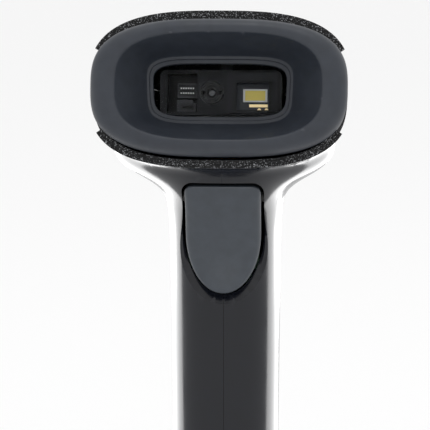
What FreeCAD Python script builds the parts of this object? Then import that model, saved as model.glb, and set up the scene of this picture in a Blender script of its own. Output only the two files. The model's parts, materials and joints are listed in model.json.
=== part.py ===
import FreeCAD, Part
import math
import os
import re

import Sketcher

from FreeCAD import Placement, Rotation, Vector

# Pistol-grip 2-D imaging barcode scanner, in millimetres.
# Row frame: origin in the middle of the handle's flat base, +Z up the handle, nose towards -Y.
# Head frame: x to the side, y is the depth behind the nose face, z is up from the nose's axis.

DIMS = {
    # where the nose face stands, and how far the head tips back
    "nose_reach": 50.0,
    "nose_height": 152.5,
    "head_tilt": 12.0,
    # outer skin
    "wall": 2.0,
    "inner_back": 75.5,
    "seam_gap": 0.14,
    "lip_half_width": 31.9,
    "lip_half_height": 19.15,
    "head_power": 2.9,
    "notch_top": 9.5,
    "notch_bottom": 10.7,
    "notch_depth": 13.0,
    "top_seam_fall": 0.07,
    "chin_seam_slope": 0.62,
    "chin_seam_start": 9.0,
    # nose bezel
    "bezel_half_width": 31.0,
    "bezel_half_height": 16.6,
    "bezel_depth": 9.8,
    "rim_half_width": 24.7,
    "rim_half_height": 12.8,
    "frame_half_width": 17.75,
    "frame_half_height": 8.3,
    "frame_depth": 11.0,
    "aperture_half_width": 16.2,
    "aperture_half_height": 6.5,
    "bezel_back": 13.0,
    "window_power": 4.6,
    "gasket_thick": 0.6,
    "window_half_width": 18.3,
    "window_half_height": 8.6,
    "window_thick": 1.1,
    # handle
    "handle_half_width": 14.1,
    "handle_half_depth": 16.4,
    "handle_power": 2.35,
    "base_height": 6.0,
    "seal_thick": 0.5,
    # trigger, its pocket and its pivot
    "trigger_half_width": 9.65,
    "trigger_top": 124.5,
    "trigger_bottom": 95.4,
    "trigger_corner": 2.2,
    "trigger_bowl": 15.0,
    "trigger_thick": 2.6,
    "trigger_proud": 1.9,
    "trigger_gap": 0.75,
    "pocket_bevel": 2.3,
    "pocket_step": 1.4,
    "well_wall": 1.5,
    "well_back": -9.0,
    "pivot_back": -17.0,
    "pivot_height": 120.5,
    "pin_radius": 1.25,
    "pin_half_length": 12.0,
    "pin_play": 0.05,
    "ear_thick": 2.4,
    "ear_height": 5.2,
    "skirt_back": -11.5,
    "skirt_thick": 1.5,
    # trigger switch
    "switch_height": 108.0,
    "plunger_tip": -13.0,
    "plunger_radius": 1.5,
    "plunger_length": 3.2,
    "plunger_play": 0.06,
    "switch_front": -12.0,
    "switch_side": 6.0,
    "switch_depth": 3.6,
    "touch_gap": 0.06,
    "trigger_board_half": 9.0,
    "trigger_board_low": 97.0,
    "trigger_board_tall": 25.0,
    "board_thick": 1.2,
    "spring_height": 101.0,
    "spring_radius": 1.8,
    "spring_wire": 0.32,
    "spring_turns": 6.0,
    # imaging engine
    "engine_front": 17.2,
    "engine_depth": 14.0,
    "engine_half_width": 15.0,
    "engine_half_height": 5.6,
    "lens_x": -2.25,
    "lens_tower_half": 3.65,
    "barrel_radius": 3.0,
    "barrel_bore": 2.2,
    "barrel_length": 11.0,
    "iris_radius": 0.75,
    "ring_radius": 2.75,
    "ring_thick": 0.9,
    "bay_half_height": 4.7,
    "left_bay_edge": -13.2,
    "left_bay_depth": 4.6,
    "right_bay_near": 1.9,
    "right_bay_far": 13.4,
    "right_bay_depth": 4.6,
    "mask_thick": 0.6,
    "mask_near": 3.9,
    "mask_far": 11.9,
    "mask_low": -3.5,
    "mask_high": 2.5,
    "led_x": 8.4,
    "led_up": -0.4,
    "led_width": 6.0,
    "led_height": 3.2,
    "led_thick": 0.9,
    "phosphor_width": 5.0,
    "phosphor_height": 2.5,
    "sensor_side": 7.0,
    "sensor_thick": 1.0,
    # boards in the head
    "main_board_front": 38.0,
    "main_board_length": 24.0,
    "main_board_half": 16.0,
    "main_board_up": -10.4,
    # handle base and cable socket
    "jack_centre": 6.0,
    "jack_width": 15.2,
    "jack_deep": 12.6,
    "socket_width": 12.2,
    "socket_deep": 8.6,
    "socket_tall": 13.0,
    "contact_count": 10.0,
    "contact_pitch": 1.02,
    "jack_board_up": 22.4,
    # fasteners
    "screw_radius": 1.1,
    "screw_head": 2.1,
}

# Head skin: depth behind the nose, width and height as shares of the lip, and drop of the middle line.
HEAD_STATIONS = (
    (7.5, 1.000, 1.000, -0.15),
    (13.0, 0.975, 0.974, -0.05),
    (22.0, 0.953, 0.958, -0.14),
    (36.0, 0.903, 0.926, -0.44),
    (50.0, 0.824, 0.884, -0.93),
    (62.0, 0.715, 0.800, -1.92),
    (71.0, 0.564, 0.653, -3.30),
    (76.5, 0.361, 0.421, -4.66),
    (78.6, 0.150, 0.170, -5.23),
)
# Nose roll: depth behind the nose, and how far the outline stands in from the bezel's full width and height.
BEZEL_ROLL = ((0.0, 3.6, 2.3), (0.7, 2.0, 1.2), (2.0, 0.75, 0.4), (4.5, 0.0, 0.0), (9.8, 0.05, 0.05),
              (12.8, 0.2, 0.2))
# Handle skin: height, front and back reach as shares of the half depth, half width as a share,
# and how much wider the front is than the back.
HANDLE_STATIONS = (
    (0.0, 1.128, 1.128, 1.092, 0.00),
    (8.0, 1.085, 1.073, 1.050, 0.00),
    (25.0, 1.000, 1.012, 1.007, 0.00),
    (50.0, 0.963, 1.012, 1.000, 0.00),
    (75.0, 0.988, 1.049, 1.014, 0.00),
    (95.0, 1.049, 1.073, 1.028, 0.00),
    (108.0, 1.159, 1.098, 1.042, 0.01),
    (116.0, 1.299, 1.146, 1.070, 0.02),
    (120.5, 1.427, 1.185, 1.165, 0.05),
    (124.0, 1.573, 1.250, 1.405, 0.12),
    (127.0, 1.720, 1.315, 1.690, 0.18),
    (130.0, 1.870, 1.350, 1.880, 0.20),
    (134.0, 1.950, 1.330, 1.940, 0.22),
    (139.0, 1.950, 1.250, 1.860, 0.23),
)
OUTLINE_POINTS = 28
# Screws that clamp the two halves: height and reach of each, and where their heads sit.
SHELL_SCREWS = ((34.0, 12.0), (88.0, 12.0))
SHELL_SCREW_SEAT = 8.5
# Slot of the status light in the top cover.
LIGHT_HALF = 5.0
LIGHT_FRONT = 52.0
LIGHT_BACK = 56.0
# Scooped face of the trigger, as (reach, height).
FRONT_PROFILE = ((-26.4, 126.0), (-24.2, 121.5), (-21.6, 115.0), (-19.9, 108.5), (-19.5, 102.0),
                 (-20.2, 97.6), (-21.2, 94.0))

doc = FreeCAD.newDocument("scanner")
sheet = doc.addObject("Spreadsheet::Sheet", "Dims")
for row, (alias, value) in enumerate(DIMS.items(), start=1):
    sheet.set(f"A{row}", alias)
    sheet.set(f"B{row}", str(value))
    sheet.setAlias(f"B{row}", alias)
doc.recompute()
ALIAS = re.compile(r"\b(?!cos|sin)[a-z][a-z_]+")
UPRIGHT = Rotation()
ALONG_DEPTH = Rotation(Vector(1, 0, 0), -90)
ALONG_SIDE = Rotation(Vector(0, 1, 0), 90)
TILT = Rotation(Vector(1, 0, 0), -sheet.get("head_tilt"))
HEAD = Placement(Vector(0, -sheet.get("nose_reach"), sheet.get("nose_height")), TILT)
nodes = []


def dim(name):
    """One driving dimension, read from the sheet."""
    return sheet.get(name)


def bind(thing, prop, text):
    """Tie a property to an expression over the sheet's aliases."""
    thing.setExpression(prop, ALIAS.sub(lambda word: "Dims." + word.group(0), str(text)))


def locate(thing, place, turn, in_head):
    """Bind a primitive's place, given as (side, depth, up) in the head frame or as row X, Y, Z."""
    side, depth, up = place
    if in_head:
        turn = TILT.multiply(turn)
        back = f"({depth}) * cos(head_tilt) + ({up}) * sin(head_tilt) - nose_reach"
        high = f"nose_height + ({up}) * cos(head_tilt) - ({depth}) * sin(head_tilt)"
    else:
        back, high = depth, up
    thing.Placement = Placement(Vector(), turn)
    bind(thing, "Placement.Base.x", side)
    bind(thing, "Placement.Base.y", back)
    bind(thing, "Placement.Base.z", high)


def keep(thing, name=None):
    """Hand a finished sub-part over to the export."""
    thing.Label = name or thing.Name
    nodes.append(thing)
    return thing


def block(name, place, size, in_head=True):
    """A Part box from its low corner."""
    thing = doc.addObject("Part::Box", name)
    for prop, text in zip(("Length", "Width", "Height"), size):
        bind(thing, prop, text)
    locate(thing, place, UPRIGHT, in_head)
    return thing


def rod(name, place, radius, length, turn=ALONG_DEPTH, in_head=True):
    """A Part cylinder from the centre of its first end."""
    thing = doc.addObject("Part::Cylinder", name)
    bind(thing, "Radius", radius)
    bind(thing, "Height", length)
    locate(thing, place, turn, in_head)
    return thing


def join(name, *things):
    """Fuse several solids into one."""
    thing = doc.addObject("Part::MultiFuse", name)
    thing.Shapes = list(things)
    return thing


def cut(name, base, *tools):
    """Take the tools away from the base."""
    thing = doc.addObject("Part::Cut", name)
    thing.Base = base
    thing.Tool = tools[0] if len(tools) == 1 else join(name + "_tools", *tools)
    return thing


def group(name, *things):
    """Several separate solids that share one node."""
    thing = doc.addObject("Part::Compound", name)
    thing.Links = list(things)
    return thing


def free_form(name, shape):
    """A sub-part whose surface no primitive or sketch gives."""
    thing = doc.addObject("Part::Feature", name)
    thing.Shape = shape
    return thing


def origin_plane(owner, role):
    """One of a body's own origin planes."""
    return next(item for item in owner.Origin.OriginFeatures if item.Role == role)


def new_body(name, place):
    """An empty body with its own place."""
    owner = doc.addObject("PartDesign::Body", name)
    owner.Placement = place
    return owner


def sketch_on(owner, name, role, height="0"):
    """A sketch on an origin plane, lifted along its normal."""
    sketch = owner.newObject("Sketcher::SketchObject", name)
    sketch.AttachmentSupport = [(origin_plane(owner, role), "")]
    sketch.MapMode = "FlatFace"
    bind(sketch, "AttachmentOffset.Base.z", height)
    return sketch


def draw_rectangle(sketch, centre, width, height):
    """A rectangle whose width, height and middle follow the sheet."""
    corners = ((-1, -1), (1, -1), (1, 1), (-1, 1))
    first = sketch.GeometryCount
    for index, corner in enumerate(corners):
        end = corners[(index + 1) % 4]
        sketch.addGeometry(Part.LineSegment(Vector(*corner, 0), Vector(*end, 0)), False)
    for index in range(4):
        sketch.addConstraint(Sketcher.Constraint("Coincident", first + index, 2, first + (index + 1) % 4, 1))
    for index in (0, 2):
        sketch.addConstraint(Sketcher.Constraint("Horizontal", first + index))
        sketch.addConstraint(Sketcher.Constraint("Vertical", first + index + 1))
    rules = (("DistanceX", first, 1, first, 2, 2.0), ("DistanceY", first + 1, 1, first + 1, 2, 2.0),
             ("DistanceX", -1, 1, first, 1, -1.0), ("DistanceY", -1, 1, first, 1, -1.0))
    texts = (width, height, f"{centre[0]} - ({width}) / 2", f"{centre[1]} - ({height}) / 2")
    for rule, text in zip(rules, texts):
        number = sketch.addConstraint(Sketcher.Constraint(*rule))
        bind(sketch, f"Constraints[{number}]", text)


def draw_circle(sketch, centre, radius):
    """A circle whose radius and middle follow the sheet."""
    number = sketch.addGeometry(Part.Circle(Vector(0.5, 0.5, 0), Vector(0, 0, 1), 1.0), False)
    rules = (("Radius", number, 1.0), ("DistanceX", -1, 1, number, 3, 0.5),
             ("DistanceY", -1, 1, number, 3, 0.5))
    for rule, text in zip(rules, (radius, centre[0], centre[1])):
        constraint = sketch.addConstraint(Sketcher.Constraint(*rule))
        bind(sketch, f"Constraints[{constraint}]", text)


def pad(owner, sketch, length):
    """Grow the sketch along its normal."""
    feature = owner.newObject("PartDesign::Pad", sketch.Name + "_pad")
    feature.Profile = sketch
    bind(feature, "Length", length)
    return feature


def pocket(owner, sketch, length):
    """Cut the sketch along its normal, into the solid above the sketch plane."""
    feature = owner.newObject("PartDesign::Pocket", sketch.Name + "_pocket")
    feature.Profile = sketch
    feature.Reversed = True
    bind(feature, "Length", length)
    return feature


def superellipse(half_width, half_height, power, centre, up, lean=0.0):
    """A closed smooth outline; up is the direction of its height, lean makes that side narrower."""
    points = []
    for step in range(OUTLINE_POINTS):
        angle = 2 * math.pi * (step + 0.5) / OUTLINE_POINTS
        across = math.copysign(abs(math.cos(angle)) ** (2 / power), math.cos(angle))
        along = math.copysign(abs(math.sin(angle)) ** (2 / power), math.sin(angle))
        side = half_width * across * (1 - lean * along)
        points.append(centre + Vector(side, 0, 0) + up * (half_height * along))
    curve = Part.BSplineCurve()
    curve.interpolate(points, PeriodicFlag=True)
    return Part.Wire([curve.toShape()])


def head_loft(stations, power):
    """A solid through outlines (depth, half width, half height, drop); one may add a power of its own."""
    wires = []
    for depth, half_width, half_height, drop, *own in stations:
        middle = Vector(0, depth, drop)
        wires.append(superellipse(half_width, half_height, own[0] if own else power, middle, Vector(0, 0, 1)))
    solid = Part.makeLoft(wires, True, False)
    solid.Placement = HEAD
    return solid


def head_box(side, depth, up, turn=None):
    """A plain box between three pairs of limits in the head frame."""
    solid = Part.makeBox(side[1] - side[0], depth[1] - depth[0], up[1] - up[0],
                         Vector(side[0], depth[0], up[0]))
    if turn:
        solid.rotate(Vector(0, *turn[0]), Vector(1, 0, 0), turn[1])
    solid.Placement = HEAD.multiply(solid.Placement)
    return solid


def prism(wire, length):
    """A wire filled and pushed along +Y."""
    return Part.Face(wire).extrude(Vector(0, length, 0))


def head_skin(inset):
    """The head's outside, or the same set in by the wall with a mouth that takes the bezel."""
    stations = [(depth, dim("lip_half_width") * width - inset, dim("lip_half_height") * height - inset, drop)
                for depth, width, height, drop in HEAD_STATIONS]
    if not inset:
        return head_loft(stations, dim("head_power"))
    room = head_loft(stations[:-2] + [(dim("inner_back"), 6.0, 4.2, -4.9)], dim("head_power"))
    nest = superellipse(dim("bezel_half_width") + 0.2, dim("bezel_half_height") + 0.2, dim("head_power"),
                        Vector(0, 4.0, 0), Vector(0, 0, 1))
    mouth = prism(nest, dim("bezel_depth") - 3.5)
    mouth.Placement = HEAD
    return room.fuse(mouth)


def handle_skin(inset):
    """The handle's outside with its flare, or the same set in by the wall."""
    wires = []
    deep, wide = dim("handle_half_depth"), dim("handle_half_width")
    for height, front, back, width, lean in HANDLE_STATIONS:
        reach_front, reach_back = -front * deep + inset, back * deep - inset
        middle = Vector(0, (reach_front + reach_back) / 2, height)
        half = (reach_back - reach_front) / 2
        wires.append(superellipse(width * wide - inset, half, dim("handle_power"), middle,
                                  Vector(0, 1, 0), lean))
    return Part.makeLoft(wires, True, False)


def trigger_outline(reach, level, gap=0.0, bevel=0.0):
    """The trigger's shield outline at one reach, grown by a gap that widens towards the bottom."""
    half, corner = dim("trigger_half_width"), dim("trigger_corner")
    top, bottom, bowl = dim("trigger_top"), dim("trigger_bottom"), dim("trigger_bowl")
    belly = bottom + bowl
    right = [(0.0, top), (half * 0.45, top), (half - corner, top - 0.05)]
    right += [(half - 0.3 * corner, top - 0.3 * corner), (half, top - 1.1 * corner)]
    right += [(half, top - 4.0), (half, (top + belly) / 2)]
    for step in range(8):
        angle = step * math.pi / 16
        right.append((half * math.cos(angle), belly - bowl * math.sin(angle)))
    points = []
    for side, height in right + [(0.0, bottom)] + [(-side, height) for side, height in reversed(right[1:])]:
        share = min(max((level - height) / 22.0, 0.0), 1.0)
        grow = gap + bevel * share * share * (3 - 2 * share)
        if height < belly:
            outward = Vector(side / half ** 2, 0, (height - belly) / bowl ** 2)
        elif height > top - 1.2 * corner:
            outward = Vector(side / half * 0.8 if abs(side) > half - corner else 0.0, 0, 1.0)
            if abs(side) >= half - 0.01:
                outward = Vector(side, 0, 0)
        else:
            outward = Vector(side, 0, 0)
        outward.normalize()
        points.append(Vector(side, reach, height) + outward * grow)
    curve = Part.BSplineCurve()
    curve.interpolate(points, PeriodicFlag=True)
    return Part.Wire([curve.toShape()])


def build_skin():
    """The whole outside cut into top cover, chin cover and two shell halves."""
    wall, gap = dim("wall"), dim("seam_gap")
    head_out, handle_out = head_skin(0), handle_skin(0)
    skin = head_out.fuse(handle_out).cut(head_skin(wall).fuse(handle_skin(wall)))
    notch, chin_notch = dim("notch_top"), dim("notch_bottom")
    mouth = head_box((-40, 40), (-10, dim("notch_depth")), (-chin_notch, notch))
    skin = skin.cut(mouth)
    skin = skin.cut(Part.makeBox(80, 80, dim("base_height") + dim("seal_thick"), Vector(-40, -40, 0)))
    fall = -math.degrees(math.atan(dim("top_seam_fall")))
    seam = ((dim("notch_depth"), notch), fall)
    brow = head_box((-40, 40), (-20, dim("notch_depth")), (notch, 60))
    above = head_box((-40, 40), (-20, 90), (notch, 60), seam).fuse(brow)
    above_gap = head_box((-40, 40), (-20, 90), (notch - gap, 60), seam).fuse(brow)
    top = skin.common(above)
    drop = -math.degrees(math.atan(dim("chin_seam_slope")))
    chin_seam = ((dim("chin_seam_start"), -chin_notch), drop)
    flare = handle_skin(-gap)
    below = head_box((-40, 40), (-20, 40), (-60, -chin_notch), chin_seam).cut(flare)
    below_gap = head_box((-40, 40), (-20, 40), (-60, gap - chin_notch), chin_seam).cut(handle_out)
    head_wall = head_out.cut(head_skin(wall)).cut(mouth)
    chin = head_wall.common(below)
    shells = skin.cut(above_gap).cut(below_gap)
    return top, chin, shells, head_out, handle_out


def largest(shape):
    """The biggest solid of a shape, without slivers."""
    return max(shape.Solids, key=lambda solid: solid.Volume)


def pocket_tool(gap):
    """The trigger's opening: a straight throat with a shallow step around it that follows the skin."""
    level = dim("pivot_height") - 2.5
    throat = prism(trigger_outline(-40.0, level, gap), 32.0)
    step = prism(trigger_outline(-40.0, level, gap, dim("pocket_bevel")), 32.0)
    return throat.fuse(step.cut(handle_skin(dim("pocket_step"))))


def screw_solid(tip, way, length):
    """A pan-head screw from its tip, with a cross recess in the head."""
    shank = Part.makeCylinder(dim("screw_radius"), length, tip, way)
    seat = tip + way * length
    head = Part.makeCylinder(dim("screw_head"), 1.3, seat, way)
    screw = shank.fuse(head)
    top = seat + way * 1.3
    across = Vector(0, 0, 1) if abs(way.z) < 0.9 else Vector(1, 0, 0)
    for turn in (0, 90):
        slot = Part.makeBox(2.2, 0.5, 0.8, Vector(-1.1, -0.25, -0.8))
        slot.Placement = Placement(top, Rotation(Vector(1, 0, 0), across, way, "ZXY").multiply(
            Rotation(Vector(0, 0, 1), turn)))
        screw = screw.cut(slot)
    return screw


def build_shells(shells, head_out, handle_out):
    """Left and right halves with the trigger well, bosses and pin holes."""
    level = dim("pivot_height") - 2.5
    thick = dim("trigger_gap") + dim("well_wall")
    well = prism(trigger_outline(-40.0, level, thick, dim("pocket_bevel")), 40.0 + dim("well_back"))
    well = well.common(handle_out)
    whole = shells.fuse(well)
    for height, reach in SHELL_SCREWS:
        boss = Part.makeCylinder(3.0, 40.0, Vector(-20, reach, height), Vector(1, 0, 0))
        whole = whole.fuse(boss.common(handle_out))
    whole = whole.cut(pocket_tool(dim("trigger_gap")))
    pin = Part.makeCylinder(dim("pin_radius"), 2 * dim("pin_half_length"),
                            Vector(-dim("pin_half_length"), dim("pivot_back"), dim("pivot_height")),
                            Vector(1, 0, 0))
    whole = whole.cut(pin)
    for height, reach in SHELL_SCREWS:
        start = Vector(-9.0, reach, height)
        whole = whole.cut(Part.makeCylinder(dim("screw_radius"), 30.0, start, Vector(1, 0, 0)))
        head = Vector(SHELL_SCREW_SEAT, reach, height)
        whole = whole.cut(Part.makeCylinder(dim("screw_head") + 0.2, 20.0, head, Vector(1, 0, 0)))
    half_gap = 0.02
    left = whole.common(Part.makeBox(60, 120, 220, Vector(-60 - half_gap, -60, -5)))
    right = whole.common(Part.makeBox(60, 120, 220, Vector(half_gap, -60, -5)))
    keep(free_form("left_shell", largest(left)))
    keep(free_form("right_shell", largest(right)))
    screws = [screw_solid(Vector(SHELL_SCREW_SEAT - 14.0, reach, height), Vector(1, 0, 0), 14.0)
              for height, reach in SHELL_SCREWS]
    keep(free_form("shell_screws", Part.makeCompound(screws)))


def build_covers(top, chin, head_out):
    """Top cover with the status light's slot, and the chin cover."""
    slot = head_box((-LIGHT_HALF, LIGHT_HALF), (LIGHT_FRONT, LIGHT_BACK), (5, 30))
    skin_only = head_out.cut(head_skin(dim("wall")))
    lens_room = head_box((0.1 - LIGHT_HALF, LIGHT_HALF - 0.1), (LIGHT_FRONT + 0.1, LIGHT_BACK - 0.1), (5, 30))
    lens = largest(skin_only.common(lens_room))
    keep(free_form("top_cover", largest(top.cut(slot))))
    keep(free_form("chin_cover", largest(chin)))
    stem = head_box((-1.5, 1.5), (LIGHT_FRONT + 1.0, LIGHT_BACK - 1.0), (-7.9, 13.8))
    keep(free_form("status_light_lens", lens.fuse(stem)))


def build_bezel():
    """Rounded nose ring, its funnel and the stepped window frame."""
    wide, high = dim("bezel_half_width"), dim("bezel_half_height")
    power = dim("head_power")
    roll = [(depth, wide - side, high - up, 0) for depth, side, up in BEZEL_ROLL]
    body = head_loft(roll, power)
    for up in ((dim("notch_top") - 0.2, 30), (-30, 0.2 - dim("notch_bottom"))):
        body = body.cut(head_box((-40, 40), (dim("bezel_depth"), 20), up))
    hollow = head_loft([(depth, wide - 2.0, high - 2.0, 0) for depth in (4.0, 20.0)], power)
    rim, frame = dim("rim_half_width"), dim("frame_half_width")
    rim_high, frame_high = dim("rim_half_height"), dim("frame_half_height")
    square, deep, wall = dim("window_power"), dim("frame_depth"), 1.8
    tray = head_loft([(0.0, rim + wall, rim_high + wall, 0),
                      (deep, frame + wall, frame_high + wall, 0, square)], power)
    floor = head_loft([(depth, frame + wall, frame_high + wall, 0)
                       for depth in (deep - 1.0, dim("bezel_back"))], square)
    body = body.cut(hollow).fuse(tray).fuse(floor)
    funnel = head_loft([(-0.5, rim + 0.35, rim_high + 0.25, 0), (deep, frame, frame_high, 0, square)], power)
    opening = head_loft([(depth, dim("aperture_half_width"), dim("aperture_half_height"), 0)
                         for depth in (5.0, 20.0)], square)
    keep(free_form("nose_bezel", largest(body.cut(funnel).cut(opening))))


def build_window():
    """Clear window behind the bezel, on a thin gasket."""
    wide, high = dim("window_half_width"), dim("window_half_height")
    middle = dim("bezel_back") + dim("gasket_thick")
    power = dim("window_power")
    plate = head_loft([(dim("bezel_back"), wide, high, 0), (middle, wide, high, 0)], power)
    hole = head_loft([(5.0, dim("aperture_half_width") + 0.3, dim("aperture_half_height") + 0.3, 0),
                      (20.0, dim("aperture_half_width") + 0.3, dim("aperture_half_height") + 0.3, 0)], power)
    keep(free_form("window_gasket", plate.cut(hole)))
    pane = head_loft([(middle, wide, high, 0), (middle + dim("window_thick"), wide, high, 0)], power)
    keep(free_form("scan_window", pane))


def build_trigger():
    """Finger trigger: scooped face with a skirt behind it, two pivot ears and the switch rib."""
    level = dim("pivot_height") - 2.5
    thick = dim("trigger_thick")
    face = Part.BSplineCurve()
    face.interpolate([Vector(-13, reach, height) for reach, height in FRONT_PROFILE])
    (top_reach, top), (low_reach, low) = FRONT_PROFILE[0], FRONT_PROFILE[-1]
    route = [Vector(-13, low_reach, low), Vector(-13, dim("skirt_back"), low),
             Vector(-13, dim("skirt_back"), top), Vector(-13, top_reach, top)]
    edges = [face.toShape()] + Part.makePolygon(route).Edges
    side_view = Part.Face(Part.Wire(Part.__sortEdges__(edges)))
    solid = side_view.extrude(Vector(26, 0, 0)).common(prism(trigger_outline(-40.0, level), 30.0))
    solid = solid.common(handle_skin(-dim("trigger_proud")))
    hollow = side_view.extrude(Vector(26, 0, 0)).common(handle_skin(-dim("trigger_proud")))
    hollow.translate(Vector(0, thick, 0))
    shell = solid.cut(hollow.common(prism(trigger_outline(-40.0, level, -dim("skirt_thick")), 40.0)))
    pivot = Vector(0, dim("pivot_back"), dim("pivot_height"))
    ear_wide, ear_half = dim("ear_thick"), dim("ear_height") / 2
    ear_outside = dim("trigger_half_width") - 0.65
    ear_deep = dim("pivot_back") + 2.8 + 24.0
    ears = [Part.makeBox(ear_wide, ear_deep, 2 * ear_half, Vector(side, -24.0, pivot.z - ear_half))
            for side in (-ear_outside, ear_outside - ear_wide)]
    rib_top = dim("plunger_tip") - dim("touch_gap")
    rib = Part.makeBox(3.0, rib_top + 18.5, 1.4, Vector(-1.5, -18.5, dim("switch_height") - 0.7))
    trigger = largest(shell).fuse(ears + [rib])
    hole = Part.makeCylinder(dim("pin_radius") + dim("pin_play"), 40.0, pivot - Vector(20, 0, 0),
                             Vector(1, 0, 0))
    keep(free_form("trigger", largest(trigger.cut(hole))))


def build_pivot_pin():
    """Steel pin pressed into the well's side walls."""
    pin = rod("trigger_pin", ("-pin_half_length", "pivot_back", "pivot_height"), "pin_radius",
              "2 * pin_half_length", ALONG_SIDE, False)
    keep(pin)


def build_spring():
    """Small coil spring between the trigger and its board."""
    radius, wire, turns = dim("spring_radius"), dim("spring_wire"), dim("spring_turns")
    start = -16.5 + wire
    end = dim("switch_front") + dim("switch_depth") - wire - 0.05
    coil = Part.makeHelix((end - start) / turns, end - start, radius)
    profile = Part.Wire([Part.makeCircle(wire, Vector(radius, 0, 0), Vector(0, 1, 0))])
    solid = Part.Wire(coil.Edges).makePipeShell([profile], True, True)
    solid.Placement = Placement(Vector(0, start, dim("spring_height")), ALONG_DEPTH)
    keep(free_form("trigger_spring", solid))


def build_switch():
    """Tact switch with its moving plunger, on the trigger board."""
    shell = block("switch_body", ("-switch_side / 2", "switch_front", "switch_height - switch_side / 2"),
                  ("switch_side", "switch_depth", "switch_side"), False)
    bore = rod("switch_bore", (0, "switch_front - 1", "switch_height"), "plunger_radius + plunger_play",
               "plunger_length + 1.1", ALONG_DEPTH, False)
    keep(cut("trigger_switch", shell, bore))
    keep(rod("switch_plunger", (0, "plunger_tip", "switch_height"), "plunger_radius", "plunger_length",
             ALONG_DEPTH, False))


def build_boards():
    """Printed boards as padded sketches with their mounting holes."""
    trigger_back = dim("switch_front") + dim("switch_depth")
    stand = Placement(Vector(0, trigger_back, 0), Rotation(Vector(1, 0, 0), -90))
    board = new_body("trigger_board", stand)
    outline = sketch_on(board, "trigger_board_outline", "XY_Plane")
    draw_rectangle(outline, (0, "-trigger_board_low - trigger_board_tall / 2"),
                   "2 * trigger_board_half", "trigger_board_tall")
    pad(board, outline, "board_thick")
    holes = sketch_on(board, "trigger_board_holes", "XY_Plane")
    for side in ("-trigger_board_half + 2", "trigger_board_half - 2"):
        draw_circle(holes, (side, "-trigger_board_low - 2.5"), 0.9)
    pocket(board, holes, "board_thick")
    keep(board)
    board = new_body("main_board", HEAD)
    outline = sketch_on(board, "main_board_outline", "XY_Plane", "main_board_up")
    draw_rectangle(outline, (0, "main_board_front + main_board_length / 2"), "2 * main_board_half",
                   "main_board_length")
    pad(board, outline, "board_thick")
    holes = sketch_on(board, "main_board_holes", "XY_Plane", "main_board_up")
    for side in ("-main_board_half + 2.5", "main_board_half - 2.5"):
        draw_circle(holes, (side, "main_board_front + 3"), 1.1)
    pocket(board, holes, "board_thick")
    keep(board)
    board = new_body("jack_board", Placement())
    outline = sketch_on(board, "jack_board_outline", "XY_Plane", "jack_board_up")
    draw_rectangle(outline, (0, 1.0), 17.2, 20)
    pad(board, outline, "board_thick")
    holes = sketch_on(board, "jack_board_holes", "XY_Plane", "jack_board_up")
    for side in (-6.5, 6.5):
        draw_circle(holes, (side, -7), 1.0)
    pocket(board, holes, "board_thick")
    keep(board)


def build_head_electronics():
    """Chips, screening can, sounder, lamps and the flat cable on the main board."""
    top = "main_board_up + board_thick"
    chips = [block("processor", (-14, 46, top), (11, 11, 1.1)),
             block("memory", (-14.5, 39.5, top), (8, 5, 0.9)),
             block("regulator", (11.5, 40, top), (4, 4, 1.0)),
             block("interface_chip", (-1, 57, top), (6, 4, 0.9))]
    keep(group("board_chips", *chips))
    can = block("can_outside", (1.0, 43.6, top), (9, 8, 2.2))
    inside = block("can_inside", (1.3, 43.9, top + " - 1"), (8.4, 7.4, 2.9))
    keep(cut("shield_can", can, inside))
    drum = rod("beeper_drum", (10.5, 56, top), 4.2, 3.4, UPRIGHT)
    port = rod("beeper_port", (10.5, 56, top + " + 2.4"), 0.9, 2.0, UPRIGHT)
    keep(cut("beeper", drum, port))
    lamps = [block(f"lamp_{index}", (side, 53.6, top), (1.6, 0.9, 0.7))
             for index, side in enumerate((-1.8, 0.2))]
    keep(group("status_leds", *lamps))


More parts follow.
